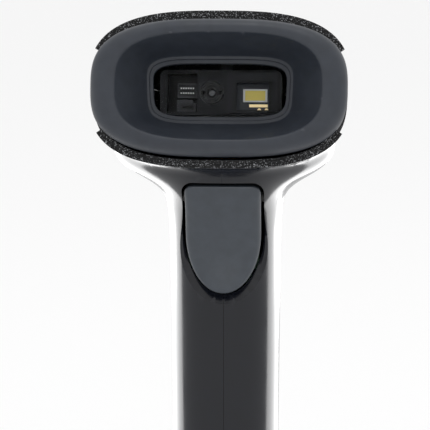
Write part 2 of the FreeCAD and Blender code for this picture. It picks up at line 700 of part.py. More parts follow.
def build_engine():
    """Imaging engine: frame with two bays and a lens tower, optics, lamps and aimer."""
    front, half = "engine_front", "engine_half_width"
    chassis = block("chassis", ("-engine_half_width", front, "-engine_half_height"),
                    ("2 * engine_half_width", "engine_depth", "2 * engine_half_height"))
    rounded = doc.addObject("Part::Fillet", "chassis_rounded")
    rounded.Base = chassis
    doc.recompute()
    axis = TILT.multVec(Vector(0, 1, 0))
    corners = [index for index, edge in enumerate(chassis.Shape.Edges, start=1)
               if abs(edge.tangentAt(edge.FirstParameter).dot(axis)) > 0.99]
    rounded.Edges = [(index, 1.6, 1.6) for index in corners]
    left = block("left_bay", ("left_bay_edge", "engine_front - 1", "-bay_half_height"),
                 ("lens_x - lens_tower_half - left_bay_edge", "left_bay_depth + 1", "2 * bay_half_height"))
    right = block("right_bay", ("right_bay_near", "engine_front - 1", "-bay_half_height"),
                  ("right_bay_far - right_bay_near", "right_bay_depth + 1", "2 * bay_half_height"))
    bore = rod("lens_bore", ("lens_x", "engine_front - 1", 0), "barrel_radius", "engine_depth + 2")
    keep(cut("engine_frame", rounded, left, right, bore))
    tube = rod("barrel_outside", ("lens_x", "engine_front + ring_thick", 0), "barrel_radius", "barrel_length")
    tube_bore = rod("barrel_inside", ("lens_x", "engine_front", 0), "barrel_bore", "barrel_length + 2")
    keep(cut("lens_barrel", tube, tube_bore))
    ring = rod("ring_disc", ("lens_x", "engine_front - 0.2", 0), "ring_radius", "ring_thick + 0.2")
    iris = rod("ring_iris", ("lens_x", "engine_front - 1", 0), "iris_radius", "ring_thick + 2")
    notches = [block(f"ring_notch_{index}", (f"lens_x + {side}", "engine_front - 0.5", -0.45),
                     (0.8, 0.8, 0.9))
               for index, side in enumerate((-2.8, 2.0))]
    keep(cut("lens_lock_ring", ring, iris, *notches))
    keep(rod("lens_glass", ("lens_x", "engine_front + ring_thick + 0.3", 0), "barrel_bore - 0.02", 2.4))
    back = "engine_front + engine_depth"
    keep(block("image_sensor", ("lens_x - sensor_side / 2", back, "-sensor_side / 2"),
               ("sensor_side", "sensor_thick", "sensor_side")))
    keep(block("sensor_board", ("-engine_half_width", back + " + sensor_thick", "-engine_half_height"),
               ("2 * engine_half_width", 0.8, "2 * engine_half_height")))
    floor = "engine_front + right_bay_depth"
    keep(block("illumination_board", ("right_bay_near + 0.1", floor + " - 0.8", "-bay_half_height + 0.1"),
               ("right_bay_far - right_bay_near - 0.2", 0.8, "2 * bay_half_height - 0.2")))
    body = block("led_case", ("led_x - led_width / 2", floor + " - 0.8 - led_thick",
                              "led_up - led_height / 2"), ("led_width", "led_thick", "led_height"))
    cup = block("led_cup", ("led_x - phosphor_width / 2", floor + " - 1.8 - led_thick",
                            "led_up - phosphor_height / 2"), ("phosphor_width", 1.5, "phosphor_height"))
    keep(cut("white_led_body", body, cup))
    keep(block("white_led_phosphor", ("led_x - phosphor_width / 2", floor + " - 0.6 - led_thick",
                                      "led_up - phosphor_height / 2"),
               ("phosphor_width", 0.3, "phosphor_height")))
    trace = block("gold_trace", (6.9, floor + " - 0.86", -3.2), (4.6, 0.06, 0.7))
    pads = [rod(f"gold_pad_{index}", (side, floor + " - 0.86", -3.9), 0.45, 0.06)
            for index, side in enumerate((9.4, 11.2))]
    keep(group("led_gold_pads", trace, *pads))
    plate = block("mask_plate",
                  ("right_bay_near - 0.4", "engine_front - mask_thick", "-bay_half_height - 0.3"),
                  ("right_bay_far - right_bay_near + 0.8", "mask_thick", "2 * bay_half_height + 0.6"))
    gate = block("mask_gate", ("mask_near", "engine_front - 2", "mask_low - 0.8"),
                 ("mask_far - mask_near", 4, "mask_high - mask_low + 0.8"))
    keep(cut("illumination_mask", plate, gate))
    floor = "engine_front + left_bay_depth"
    case = block("aimer_case", (-10.9, floor + " - 3.4", -4.6), (4.8, 3.4, 2.9))
    aimer_slot = block("aimer_slot", (-9.4, floor + " - 3.6", -3.8), (2.4, 0.8, 0.5))
    aimer_notch = block("aimer_notch", (-7.0, floor + " - 4", -2.4), (1.2, 4.2, 1.0))
    keep(cut("aimer_module", case, aimer_slot, aimer_notch))
    socket = block("socket_case", (-10.8, floor + " - 2.6", -1.2), (4.7, 2.6, 3.7))
    mouth = block("socket_mouth", (-10.3, floor + " - 2.8", -0.2), (3.7, 1.4, 1.8))
    keep(cut("board_connector", socket, mouth))
    contacts = [block(f"contact_{level}_{index}", (f"{-10.1 + 0.6 * index}", floor + " - 1.9", up),
                      (0.3, 0.5, 0.3))
                for level, up in enumerate((0.0, 1.2)) for index in range(6)]
    keep(group("connector_contacts", *contacts))


def build_bracket():
    """Bent sheet bracket under the engine, its screws, and the flexible cable to the main board."""
    shelf = block("bracket_shelf", (-14, "engine_front + 1", "-engine_half_height - 1.0"), (28, 19, 1.0))
    lip = block("bracket_lip", (-14, "engine_front + 19", "main_board_up - 1.0"),
                (28, 1.0, "-engine_half_height - main_board_up + 1.0"))
    foot = block("bracket_foot", (-14, "engine_front + 19", "main_board_up - 1.0"), (28, 12, 1.0))
    bent = join("bracket_bent", shelf, lip, foot)
    holes = [rod(f"bracket_hole_{index}", (side, 22.0, "-engine_half_height - 2"), 0.6, 2.4, UPRIGHT)
             for index, side in enumerate((-10, 10))]
    keep(cut("engine_bracket", bent, *holes))
    up = TILT.multVec(Vector(0, 0, 1))
    screws = []
    for side in (-10, 10):
        tip = HEAD.multVec(Vector(side, 22.0, -dim("engine_half_height") + 0.0))
        shank = Part.makeCylinder(0.6, 1.0, tip - up * 1.0, up)
        screws.append(shank.fuse(Part.makeCylinder(1.2, 0.8, tip - up * 1.8, up)))
    keep(free_form("engine_screws", Part.makeCompound(screws)))


def ribbon(name, route, width, thick, in_head):
    """A flat cable of even thickness along a bent route in the middle plane."""
    side = [Vector(0, reach, height) for reach, height in route]
    band = Part.makePolygon(side)
    ways = [(side[index + 1] - side[index]).normalize() for index in range(len(side) - 1)]
    outer = []
    for index, point in enumerate(side):
        before = ways[max(index - 1, 0)]
        after = ways[min(index, len(ways) - 1)]
        middle = (before + after).normalize()
        normal = Vector(0, -middle.z, middle.y)
        outer.append(point + normal * (thick / max(middle.dot(after), 0.3)))
    wire = Part.makePolygon(side + outer[::-1] + [side[0]])
    solid = Part.Face(wire).extrude(Vector(width, 0, 0))
    solid.translate(Vector(-width / 2, 0, 0))
    if in_head:
        solid.Placement = HEAD.multiply(solid.Placement)
    return keep(free_form(name, solid))


def build_cables():
    """Flat cables: engine to main board, and main board down the handle."""
    back = dim("engine_front") + dim("engine_depth") + dim("sensor_thick") + 0.8
    ribbon("engine_flex", ((back, 3.0), (back + 3.0, 3.0), (back + 5.5, 0.0), (back + 5.5, -7.5),
                           (back + 6.5, dim("main_board_up") + dim("board_thick")),
                           (back + 9.5, dim("main_board_up") + dim("board_thick"))), 9.0, 0.2, True)
    board_top = dim("jack_board_up") + dim("board_thick")
    low = HEAD.multVec(Vector(0, 50.0, dim("main_board_up") - 0.32))
    ribbon("handle_ribbon", ((9.0, board_top), (9.0, board_top + 4.0), (6.0, board_top + 8.0), (6.0, 112.0),
                             (low.y - 3.0, 122.0), (low.y, low.z - 4.0), (low.y, low.z)), 8.0, 0.3, False)


def build_base():
    """Base cap, seal, cable socket with its contacts, and the screws that hold the cap."""
    height, seal = dim("base_height"), dim("seal_thick")
    handle = handle_skin(0)
    slab = handle.common(Part.makeBox(80, 80, height, Vector(-40, -40, 0)))
    shelf = handle_skin(dim("wall") + 0.3).common(Part.makeBox(80, 80, height, Vector(-40, -40, 2.2)))
    slab = slab.cut(shelf)
    socket = Part.makeBox(dim("socket_width"), dim("socket_deep"), 30,
                          Vector(-dim("socket_width") / 2, dim("jack_centre") - dim("socket_deep") / 2, -10))
    cap = slab.cut(socket)
    cap = cap.cut(Part.makeCylinder(0.9, 12, Vector(0, 15.4, -5)))
    screws = []
    for side in (-9.0, 9.0):
        seat = Vector(side, -8.0, 1.4)
        post = Part.makeCylinder(3.2, height - 2.0, Vector(side, -8.0, 2.0))
        cap = cap.fuse(post)
        cap = cap.cut(Part.makeCylinder(dim("screw_radius"), 20, Vector(side, -8.0, -5)))
        cap = cap.cut(Part.makeCylinder(dim("screw_head") + 0.2, 1.4 + 5, Vector(side, -8.0, -5)))
        screws.append(screw_solid(seat + Vector(0, 0, 11.0), Vector(0, 0, -1), 11.0))
    cap = cap.cut(Part.makeBox(80, 80, 20, Vector(-40, -40, height)))
    keep(free_form("base_cap", largest(cap)))
    keep(free_form("base_screws", Part.makeCompound(screws)))
    band = handle_skin(0.25).common(Part.makeBox(80, 80, seal, Vector(-40, -40, height)))
    keep(free_form("base_seal", band.cut(handle_skin(dim("wall") + 0.2))))
    case = block("jack_case", ("-jack_width / 2", "jack_centre - jack_deep / 2", 2.2),
                 ("jack_width", "jack_deep", "jack_board_up - 2.2"), False)
    room = block("jack_room", ("-socket_width / 2", "jack_centre - socket_deep / 2", 0),
                 ("socket_width", "socket_deep", "2.2 + socket_tall"), False)
    keep(cut("cable_jack", case, room))
    count = int(dim("contact_count"))
    springs = []
    for index in range(count):
        side = (index - (count - 1) / 2) * dim("contact_pitch") - 0.15
        springs.append(block(f"jack_contact_{index}", (f"{side}", "jack_centre + socket_deep / 2 - 0.5", 6.0),
                             (0.3, 0.5, 8.0), False))
    keep(group("jack_contacts", *springs))


def check_and_export():
    """Stop on any failed feature, then write one STEP file per sub-part."""
    doc.recompute()
    for item in doc.Objects:
        if "Invalid" in item.State or "Error" in item.State:
            raise RuntimeError(f"{item.Name} failed: {item.State}")
    os.makedirs("parts", exist_ok=True)
    for node in nodes:
        shape = node.Shape
        if shape.isNull() or not shape.isValid() or not shape.Solids:
            raise RuntimeError(f"{node.Label} has no valid solid")
        shape.exportStep(f"parts/{node.Label}.step")
        print(f"{node.Label}: {len(shape.Solids)} solid(s), {shape.Volume:.1f} mm3")


top_skin, chin_skin, shell_skin, head_outside, handle_outside = build_skin()
build_shells(shell_skin, head_outside, handle_outside)
build_covers(top_skin, chin_skin, head_outside)
build_bezel()
build_window()
build_trigger()
build_pivot_pin()
build_spring()
build_switch()
build_boards()
build_head_electronics()
build_engine()
build_bracket()
build_cables()
build_base()
check_and_export()
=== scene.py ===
import json
import math

import bmesh
import bpy
import numpy as np
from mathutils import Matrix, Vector


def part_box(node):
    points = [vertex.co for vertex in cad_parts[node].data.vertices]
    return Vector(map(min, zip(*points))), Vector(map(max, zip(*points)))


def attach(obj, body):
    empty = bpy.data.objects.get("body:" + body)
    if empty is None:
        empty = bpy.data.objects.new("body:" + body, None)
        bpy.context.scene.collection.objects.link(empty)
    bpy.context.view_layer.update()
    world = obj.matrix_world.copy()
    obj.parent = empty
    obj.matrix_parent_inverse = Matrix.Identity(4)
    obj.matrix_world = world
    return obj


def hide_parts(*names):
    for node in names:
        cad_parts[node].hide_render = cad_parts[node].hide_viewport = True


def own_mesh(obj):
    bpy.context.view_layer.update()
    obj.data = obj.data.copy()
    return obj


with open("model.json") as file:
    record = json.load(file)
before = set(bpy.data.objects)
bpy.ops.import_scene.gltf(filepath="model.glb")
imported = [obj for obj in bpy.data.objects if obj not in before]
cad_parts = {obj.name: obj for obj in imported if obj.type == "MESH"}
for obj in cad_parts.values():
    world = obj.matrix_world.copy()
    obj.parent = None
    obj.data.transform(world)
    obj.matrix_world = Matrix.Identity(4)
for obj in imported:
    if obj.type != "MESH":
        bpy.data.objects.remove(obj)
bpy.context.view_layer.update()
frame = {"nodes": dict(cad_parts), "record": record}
NODES = frame["nodes"]
MM = 0.001

# ---------------------------------------------------------------- the head's own frame, in millimetres
TILT = math.radians(12.0)
NOSE_REACH = 50.0
NOSE_HEIGHT = 152.5


def from_head(points):
    """Points given as (side, depth, up) in the head, to the row frame."""
    points = np.asarray(points, float)
    side, depth, up = points[..., 0], points[..., 1], points[..., 2]
    back = depth * math.cos(TILT) + up * math.sin(TILT) - NOSE_REACH
    high = up * math.cos(TILT) - depth * math.sin(TILT) + NOSE_HEIGHT
    return np.stack([side, back, high], axis=-1)


def to_head(points):
    """Row-frame points to (side, depth, up) in the head."""
    points = np.asarray(points, float)
    side, back, high = points[..., 0], points[..., 1] + NOSE_REACH, points[..., 2] - NOSE_HEIGHT
    depth = back * math.cos(TILT) - high * math.sin(TILT)
    up = back * math.sin(TILT) + high * math.cos(TILT)
    return np.stack([side, depth, up], axis=-1)


def spline(knots, values):
    """A natural cubic through the values, as a function that takes arrays."""
    knots, values = np.asarray(knots, float), np.asarray(values, float)
    count = len(knots)
    gaps = np.diff(knots)
    slopes = np.diff(values) / gaps
    matrix = np.eye(count)
    right = np.zeros(count)
    for index in range(1, count - 1):
        matrix[index, index - 1] = gaps[index - 1]
        matrix[index, index] = 2 * (gaps[index - 1] + gaps[index])
        matrix[index, index + 1] = gaps[index]
        right[index] = 6 * (slopes[index] - slopes[index - 1])
    bends = np.linalg.solve(matrix, right)

    def value(places):
        places = np.clip(np.asarray(places, float), knots[0], knots[-1])
        span = np.clip(np.searchsorted(knots, places) - 1, 0, count - 2)
        gap = gaps[span]
        left, ahead = (knots[span + 1] - places) / gap, (places - knots[span]) / gap
        bend = (left ** 3 - left) * bends[span] + (ahead ** 3 - ahead) * bends[span + 1]
        return left * values[span] + ahead * values[span + 1] + bend * gap ** 2 / 6

    return value


# ---------------------------------------------------------------- skin of head and handle
LIP_HALF_WIDTH = 31.9
LIP_HALF_HEIGHT = 19.15
HEAD_POWER = 2.9
HEAD_END = 79.0
# depth, share of the half width, share of the half height, drop
HEAD_STATIONS = (
    (7.5, 1.000, 1.000, -0.15),
    (13.0, 0.975, 0.974, -0.05),
    (22.0, 0.953, 0.958, -0.14),
    (36.0, 0.903, 0.926, -0.44),
    (50.0, 0.824, 0.884, -0.93),
    (62.0, 0.715, 0.800, -1.92),
    (71.0, 0.564, 0.653, -3.30),
    (76.5, 0.361, 0.421, -4.66),
    (79.0, 0.000, 0.000, -5.30),
)
HANDLE_HALF_WIDTH = 14.1
HANDLE_HALF_DEPTH = 16.4
HANDLE_POWER = 2.35
# height, shares of the front reach, back reach and half width, lean
HANDLE_STATIONS = (
    (0.0, 1.128, 1.128, 1.092, 0.00),
    (8.0, 1.085, 1.073, 1.050, 0.00),
    (25.0, 1.000, 1.012, 1.007, 0.00),
    (50.0, 0.963, 1.012, 1.000, 0.00),
    (75.0, 0.988, 1.049, 1.014, 0.00),
    (95.0, 1.049, 1.073, 1.028, 0.00),
    (108.0, 1.159, 1.098, 1.042, 0.01),
    (116.0, 1.299, 1.146, 1.070, 0.02),
    (120.5, 1.427, 1.185, 1.165, 0.05),
    (124.0, 1.573, 1.250, 1.405, 0.12),
    (127.0, 1.720, 1.315, 1.690, 0.18),
    (130.0, 1.870, 1.350, 1.880, 0.20),
    (134.0, 1.950, 1.330, 1.940, 0.22),
    (139.0, 1.950, 1.250, 1.860, 0.23),
    (150.0, 1.600, 0.900, 1.300, 0.20),
)
BLEND = 2.0


def head_curves():
    """Half width, half height and drop of the head, smooth to its round end."""
    run = [math.sqrt(HEAD_END - row[0]) for row in HEAD_STATIONS][::-1]
    columns = [[row[index] for row in HEAD_STATIONS][::-1] for index in (1, 2, 3)]
    wide, high, drop = (spline(run, column) for column in columns)

    def at(depth):
        place = np.sqrt(np.clip(HEAD_END - np.asarray(depth, float), 0.0, None))
        return LIP_HALF_WIDTH * wide(place), LIP_HALF_HEIGHT * high(place), drop(place)

    return at


def handle_curves():
    """Front reach, back reach, half width and lean of the handle by height."""
    heights = [row[0] for row in HANDLE_STATIONS]
    columns = [[row[index] for row in HANDLE_STATIONS] for index in (1, 2, 3, 4)]
    front, back, wide, lean = (spline(heights, column) for column in columns)

    def at(height):
        return (-HANDLE_HALF_DEPTH * front(height), HANDLE_HALF_DEPTH * back(height),
                HANDLE_HALF_WIDTH * wide(height), lean(height))

    return at


head_at = head_curves()
handle_at = handle_curves()


def head_distance(points):
    """How far outside the head a point is, roughly, in millimetres."""
    local = to_head(points)
    side, depth, up = local[..., 0], local[..., 1], local[..., 2]
    wide, high, drop = head_at(depth)
    wide, high = np.maximum(wide, 0.05), np.maximum(high, 0.05)
    powers = np.abs(side / wide) ** HEAD_POWER + np.abs((up - drop) / high) ** HEAD_POWER
    share = powers ** (1 / HEAD_POWER)
    radius = np.sqrt(side ** 2 + (up - drop) ** 2)
    distance = radius * (1 - 1 / np.maximum(share, 1e-6))
    return np.maximum(distance, depth - HEAD_END)


def handle_distance(points):
    """How far outside the handle a point is, roughly, in millimetres."""
    points = np.asarray(points, float)
    front, back, wide, lean = handle_at(points[..., 2])
    middle, half = (front + back) / 2, (back - front) / 2
    along = (points[..., 1] - middle) / half
    across = points[..., 0] / (wide * np.maximum(1 - lean * np.clip(along, -1, 1), 0.2))
    share = (np.abs(across) ** HANDLE_POWER + np.abs(along) ** HANDLE_POWER) ** (1 / HANDLE_POWER)
    radius = np.sqrt(points[..., 0] ** 2 + (points[..., 1] - middle) ** 2)
    return radius * (1 - 1 / np.maximum(share, 1e-6))


def skin_distance(points):
    """Head and handle together, with a small fillet where they meet."""
    first, second = head_distance(points), handle_distance(points)
    close = np.clip(BLEND - np.abs(first - second), 0, None) / BLEND
    return np.minimum(first, second) - close ** 2 * BLEND / 4


def march(origin, way, distance, reach=70.0):
    """Outermost crossing of a distance field along rays, found by sampling and halving."""
    steps = np.linspace(reach, 0.0, 141)
    shape = origin.shape[:-1]
    outside = np.full(shape, reach)
    inside = np.zeros(shape)
    found = np.zeros(shape, bool)
    for step in steps:
        value = distance(origin + way * step)
        hit = (value < 0) & ~found
        inside = np.where(hit, step, inside)
        found |= hit
        outside = np.where(found, outside, step)
    for _ in range(26):
        middle = (inside + outside) / 2
        value = distance(origin + way * middle[..., None])
        inside = np.where(value < 0, middle, inside)
        outside = np.where(value < 0, outside, middle)
    return origin + way * inside[..., None]


# ---------------------------------------------------------------- meshes
def mesh_object(name, points, faces, smooth=True):
    """A mesh in metres from points in millimetres."""
    data = bpy.data.meshes.new(name)
    data.from_pydata([tuple(point) for point in np.asarray(points, float) * MM], [], faces)
    data.validate()
    data.update()
    thing = bpy.data.objects.new(name, data)
    bpy.context.scene.collection.objects.link(thing)
    if smooth:
        data.shade_smooth()
    return thing


def grid_faces(rows, columns, wrap_columns=False, wrap_rows=False, start=0):
    """Quads of a grid whose vertices are stored row by row."""
    faces = []
    for row in range(rows if wrap_rows else rows - 1):
        below = (row + 1) % rows
        for column in range(columns if wrap_columns else columns - 1):
            beside = (column + 1) % columns
            faces.append((start + row * columns + column, start + row * columns + beside,
                          start + below * columns + beside, start + below * columns + column))
    return faces


def grid_object(name, points, wrap_columns=False, wrap_rows=False, flip=False):
    """One surface from a grid of points."""
    rows, columns = points.shape[:2]
    faces = grid_faces(rows, columns, wrap_columns, wrap_rows)
    if flip:
        faces = [face[::-1] for face in faces]
    return mesh_object(name, points.reshape(-1, 3), faces)


def apply_modifiers(thing):
    """Bake the modifiers into the mesh."""
    graph = bpy.context.evaluated_depsgraph_get()
    graph.update()
    data = bpy.data.meshes.new_from_object(thing.evaluated_get(graph))
    thing.modifiers.clear()
    thing.data = data


def thicken(thing, thickness):
    """Give a surface its wall, on the side its faces turn away from."""
    solid = thing.modifiers.new("wall", "SOLIDIFY")
    solid.thickness = thickness * MM
    solid.offset = -1.0
    solid.use_even_offset = False


def round_edges(thing, width, segments=3, angle=40.0):
    """Small rounds on the hard edges."""
    bevel = thing.modifiers.new("edges", "BEVEL")
    bevel.width = width * MM
    bevel.segments = segments
    bevel.limit_method = "ANGLE"
    bevel.angle_limit = math.radians(angle)
    bevel.harden_normals = False


def cut_with(thing, cutter):
    """Take a closed cutter away and delete it."""
    boolean = thing.modifiers.new("cut", "BOOLEAN")
    boolean.operation = "DIFFERENCE"
    boolean.solver = "EXACT"
    boolean.object = cutter
    apply_modifiers(thing)
    bpy.data.objects.remove(cutter)


def fix_normals(thing):
    """Point a closed mesh's faces outwards."""
    data = bmesh.new()
    data.from_mesh(thing.data)
    bmesh.ops.recalc_face_normals(data, faces=data.faces)
    data.to_mesh(thing.data)
    data.free()


def smooth_by_angle(thing, angle=35.0):
    """Smooth shading that stays sharp at hard edges."""
    data = thing.data
    data.shade_smooth()
    data.set_sharp_from_angle(angle=math.radians(angle))


def superellipse(half_width, half_height, power, count):
    """Points of a rounded rectangle outline, evenly spread, as (across, up)."""
    fine = np.linspace(0, 2 * math.pi, 4001)
    across = half_width * np.sign(np.cos(fine)) * np.abs(np.cos(fine)) ** (2 / power)
    up = half_height * np.sign(np.sin(fine)) * np.abs(np.sin(fine)) ** (2 / power)
    run = np.concatenate([[0], np.cumsum(np.hypot(np.diff(across), np.diff(up)))])
    places = np.linspace(0, run[-1], count, endpoint=False)
    return np.stack([np.interp(places, run, across), np.interp(places, run, up)], axis=-1)


# ---------------------------------------------------------------- materials
def new_material(name, colour, rough, metallic=0.0, coat=0.0):
    """A principled material with its constants on the shader itself."""
    material = bpy.data.materials.new(name)
    material.use_nodes = True
    shader = material.node_tree.nodes["Principled BSDF"]
    shader.inputs["Base Color"].default_value = (*colour, 1.0)
    shader.inputs["Roughness"].default_value = rough
    shader.inputs["Metallic"].default_value = metallic
    shader.inputs["Coat Weight"].default_value = coat
    material.diffuse_color = (*colour, 1.0)
    return material, shader


def noise(material, scale, detail=4.0, kind="ShaderNodeTexNoise"):
    """A noise in the object's own metres; scale counts features per millimetre."""
    tree = material.node_tree
    place = tree.nodes.new("ShaderNodeTexCoord")
    pattern = tree.nodes.new(kind)
    pattern.inputs["Scale"].default_value = scale * 1000.0
    if "Detail" in pattern.inputs:
        pattern.inputs["Detail"].default_value = detail
    tree.links.new(place.outputs["Object"], pattern.inputs["Vector"])
    return pattern


def vary_roughness(material, shader, scale, low, high):
    """Roughness that wanders between two values."""
    tree = material.node_tree
    pattern = noise(material, scale)
    spread = tree.nodes.new("ShaderNodeMapRange")
    spread.inputs["From Min"].default_value = 0.35
    spread.inputs["From Max"].default_value = 0.65
    spread.inputs["To Min"].default_value = low
    spread.inputs["To Max"].default_value = high
    tree.links.new(pattern.outputs["Fac"], spread.inputs["Value"])
    tree.links.new(spread.outputs["Result"], shader.inputs["Roughness"])


def add_bump(material, shader, pattern, output, strength, height):
    """Raise the surface by a pattern; height is in millimetres."""
    tree = material.node_tree
    bump = tree.nodes.new("ShaderNodeBump")
    bump.inputs["Strength"].default_value = strength
    bump.inputs["Distance"].default_value = height * MM
    tree.links.new(pattern.outputs[output], bump.inputs["Height"])
    tree.links.new(bump.outputs["Normal"], shader.inputs["Normal"])


def lighten_edges_wear_and_highlight(material, shader, colour, edge_wear_and_highlight, speckle, start=0.52, end=0.62):
    """A lighter colour on raised edges, partly edge wear and partly a painted edge highlight, broken up by a
    noise, over a slightly mottled colour.
    """
    tree = material.node_tree
    geometry = tree.nodes.new("ShaderNodeNewGeometry")
    # pointiness mask for convex edges, which get the lighter edge colour: partly edge wear, partly a painted
    # edge highlight
    edge = tree.nodes.new("ShaderNodeMapRange")
    edge.inputs["From Min"].default_value = start
    edge.inputs["From Max"].default_value = end
    tree.links.new(geometry.outputs["Pointiness"], edge.inputs["Value"])
    pattern = noise(material, speckle)
    mottle = tree.nodes.new("ShaderNodeValToRGB")
    mottle.color_ramp.elements[0].position = 0.3
    mottle.color_ramp.elements[1].position = 0.7
    mottle.color_ramp.elements[0].color = (*[part * 0.88 for part in colour], 1.0)
    mottle.color_ramp.elements[1].color = (*[part * 1.12 for part in colour], 1.0)
    tree.links.new(pattern.outputs["Fac"], mottle.inputs["Fac"])
    blend = tree.nodes.new("ShaderNodeMixRGB")
    blend.inputs["Color2"].default_value = (*edge_wear_and_highlight, 1.0)
    tree.links.new(edge.outputs["Result"], blend.inputs["Fac"])
    tree.links.new(mottle.outputs["Color"], blend.inputs["Color1"])
    tree.links.new(blend.outputs["Color"], shader.inputs["Base Color"])


def moulded(name, colour, edge_wear_and_highlight, rough, grain, height, coat=0.0, metallic=0.0, edge_wear_and_highlight_range=(0.52, 0.62),
            specular=0.5):
    """Moulded plastic or cast metal: mottled colour, lighter edges that are partly edge wear and partly a
    painted edge highlight, wandering roughness and a fine grain.
    """
    material, shader = new_material(name, colour, rough[0], metallic, coat)
    shader.inputs["Specular IOR Level"].default_value = specular
    lighten_edges_wear_and_highlight(material, shader, colour, edge_wear_and_highlight, 0.35, *edge_wear_and_highlight_range)
    vary_roughness(material, shader, 0.12, *rough)
    add_bump(material, shader, noise(material, grain, 2.0), "Fac", 0.35, height)
    return material


def gloss_black():
    """Polished black shell, nearly free of grain."""
    return moulded("gloss_black", (0.0022, 0.0030, 0.0065), (0.007, 0.008, 0.012), (0.13, 0.2), 0.35,
                   0.004, specular=0.42)


def textured_black():
    """Black skin with a coarse spark-erosion grain whose tops are painted light grey as painted glints."""
    colour = (0.004, 0.004, 0.0045)
    material, shader = new_material("textured_black", colour, 0.35)
    tree = material.node_tree
    shader.inputs["Specular IOR Level"].default_value = 0.2
    grain = noise(material, 3.4, 3.0)
    # grain tops painted light grey in the base colour: painted glints
    painted_glints = tree.nodes.new("ShaderNodeValToRGB")
    painted_glints.color_ramp.elements[0].position = 0.57
    painted_glints.color_ramp.elements[0].color = (*colour, 1.0)
    painted_glints.color_ramp.elements[1].position = 0.70
    painted_glints.color_ramp.elements[1].color = (0.42, 0.43, 0.45, 1.0)
    tree.links.new(grain.outputs["Fac"], painted_glints.inputs["Fac"])
    tree.links.new(painted_glints.outputs["Color"], shader.inputs["Base Color"])
    vary_roughness(material, shader, 1.2, 0.28, 0.46)
    add_bump(material, shader, grain, "Fac", 0.8, 0.12)
    return material


def bezel_grey():
    """Matt blue-grey nose; its lighter raised edges are a painted edge highlight along the rim, partly edge
    wear.
    """
    return moulded("bezel_grey", (0.022, 0.027, 0.037), (0.045, 0.050, 0.062), (0.45, 0.58), 3.0, 0.02)


def satin_grey():
    """Satin grey trigger, whose sharpest edges are lightened as a painted edge highlight."""
    return moulded("satin_grey", (0.032, 0.039, 0.049), (0.09, 0.10, 0.115), (0.36, 0.46), 3.0, 0.015,
                   edge_wear_and_highlight_range=(0.8, 0.9))


def base_black():
    """Matt black end cap."""
    return moulded("base_black", (0.012, 0.012, 0.013), (0.03, 0.03, 0.032), (0.42, 0.6), 2.0, 0.03)


def engine_black():
    """Fine matt black engine housing."""
    return moulded("engine_black", (0.003, 0.0032, 0.0038), (0.02, 0.02, 0.023), (0.32, 0.48), 4.0, 0.012,
                   specular=0.16)


def seal_rubber():
    """Soft black rubber with a dusty grain."""
    return moulded("seal_rubber", (0.014, 0.014, 0.014), (0.03, 0.03, 0.03), (0.65, 0.85), 5.0, 0.02)


def chip_black():
    """Epoxy chip bodies."""
    return moulded("chip_black", (0.005, 0.005, 0.006), (0.05, 0.05, 0.055), (0.4, 0.55), 6.0, 0.01,
                   specular=0.25)


def lens_metal():
    """Black anodised barrel with bright rubbed threads."""
    return moulded("lens_metal", (0.004, 0.004, 0.0045), (0.10, 0.10, 0.10), (0.3, 0.42), 5.0, 0.01,
                   specular=0.2)


def steel():
    """Bright zinc-plated steel."""
    return moulded("steel", (0.52, 0.52, 0.50), (0.72, 0.72, 0.70), (0.22, 0.38), 2.5, 0.01, metallic=1.0)


def tin_can():
    """Tin-plated shielding can."""
    return moulded("tin_can", (0.58, 0.58, 0.56), (0.75, 0.75, 0.73), (0.28, 0.45), 1.5, 0.02, metallic=1.0)


def gold():
    """Gold-flashed contacts."""
    return moulded("gold", (0.80, 0.56, 0.22), (0.90, 0.70, 0.38), (0.22, 0.36), 4.0, 0.008, metallic=1.0)


def board(name, colour, track):
    """Solder-masked board with a faint pattern of tracks under the mask."""
    material, shader = new_material(name, colour, 0.35)
    tree = material.node_tree
    pattern = noise(material, 0.45, kind="ShaderNodeTexVoronoi")
    pattern.distance = "MANHATTAN"
    pattern.feature = "F2"
    ramp = tree.nodes.new("ShaderNodeValToRGB")
    ramp.color_ramp.elements[0].position = 0.46
    ramp.color_ramp.elements[0].color = (*colour, 1.0)
    ramp.color_ramp.elements[1].position = 0.50
    ramp.color_ramp.elements[1].color = (*track, 1.0)
    tree.links.new(pattern.outputs["Distance"], ramp.inputs["Fac"])
    tree.links.new(ramp.outputs["Color"], shader.inputs["Base Color"])
    vary_roughness(material, shader, 0.8, 0.28, 0.42)
    add_bump(material, shader, noise(material, 6.0), "Fac", 0.4, 0.015)
    return material


def board_green():
    """Green board."""
    return board("board_green", (0.010, 0.085, 0.035), (0.022, 0.13, 0.055))


def board_black():
    """Blue-black board behind the illumination window."""
    return board("board_black", (0.003, 0.004, 0.010), (0.006, 0.009, 0.020))


def led_white():
    """White ceramic package."""
    return moulded("led_white", (0.78, 0.78, 0.76), (0.85, 0.85, 0.83), (0.35, 0.5), 5.0, 0.01)


def led_phosphor():
    """Yellow phosphor, granular like cured silicone."""
    material, shader = new_material("led_phosphor", (0.85, 0.62, 0.05), 0.45)
    lighten_edges_wear_and_highlight(material, shader, (0.85, 0.62, 0.05), (0.9, 0.72, 0.15), 6.0)
    vary_roughness(material, shader, 3.0, 0.35, 0.55)
    add_bump(material, shader, noise(material, 9.0), "Fac", 0.5, 0.02)
    return material


def button_cream():
    """Off-white plastic sound hole cap and connector bodies."""
    return moulded("button_cream", (0.55, 0.53, 0.46), (0.65, 0.63, 0.57), (0.4, 0.55), 4.0, 0.01)


def flex_amber():
    """Amber polyimide ribbon."""
    return moulded("flex_amber", (0.42, 0.17, 0.03), (0.55, 0.26, 0.06), (0.25, 0.4), 2.0, 0.01)


def sensor_glass():
    """Iridescent dark sensor."""
    return moulded("sensor_glass", (0.03, 0.02, 0.05), (0.06, 0.05, 0.09), (0.08, 0.14), 4.0, 0.003,
                   coat=0.5)


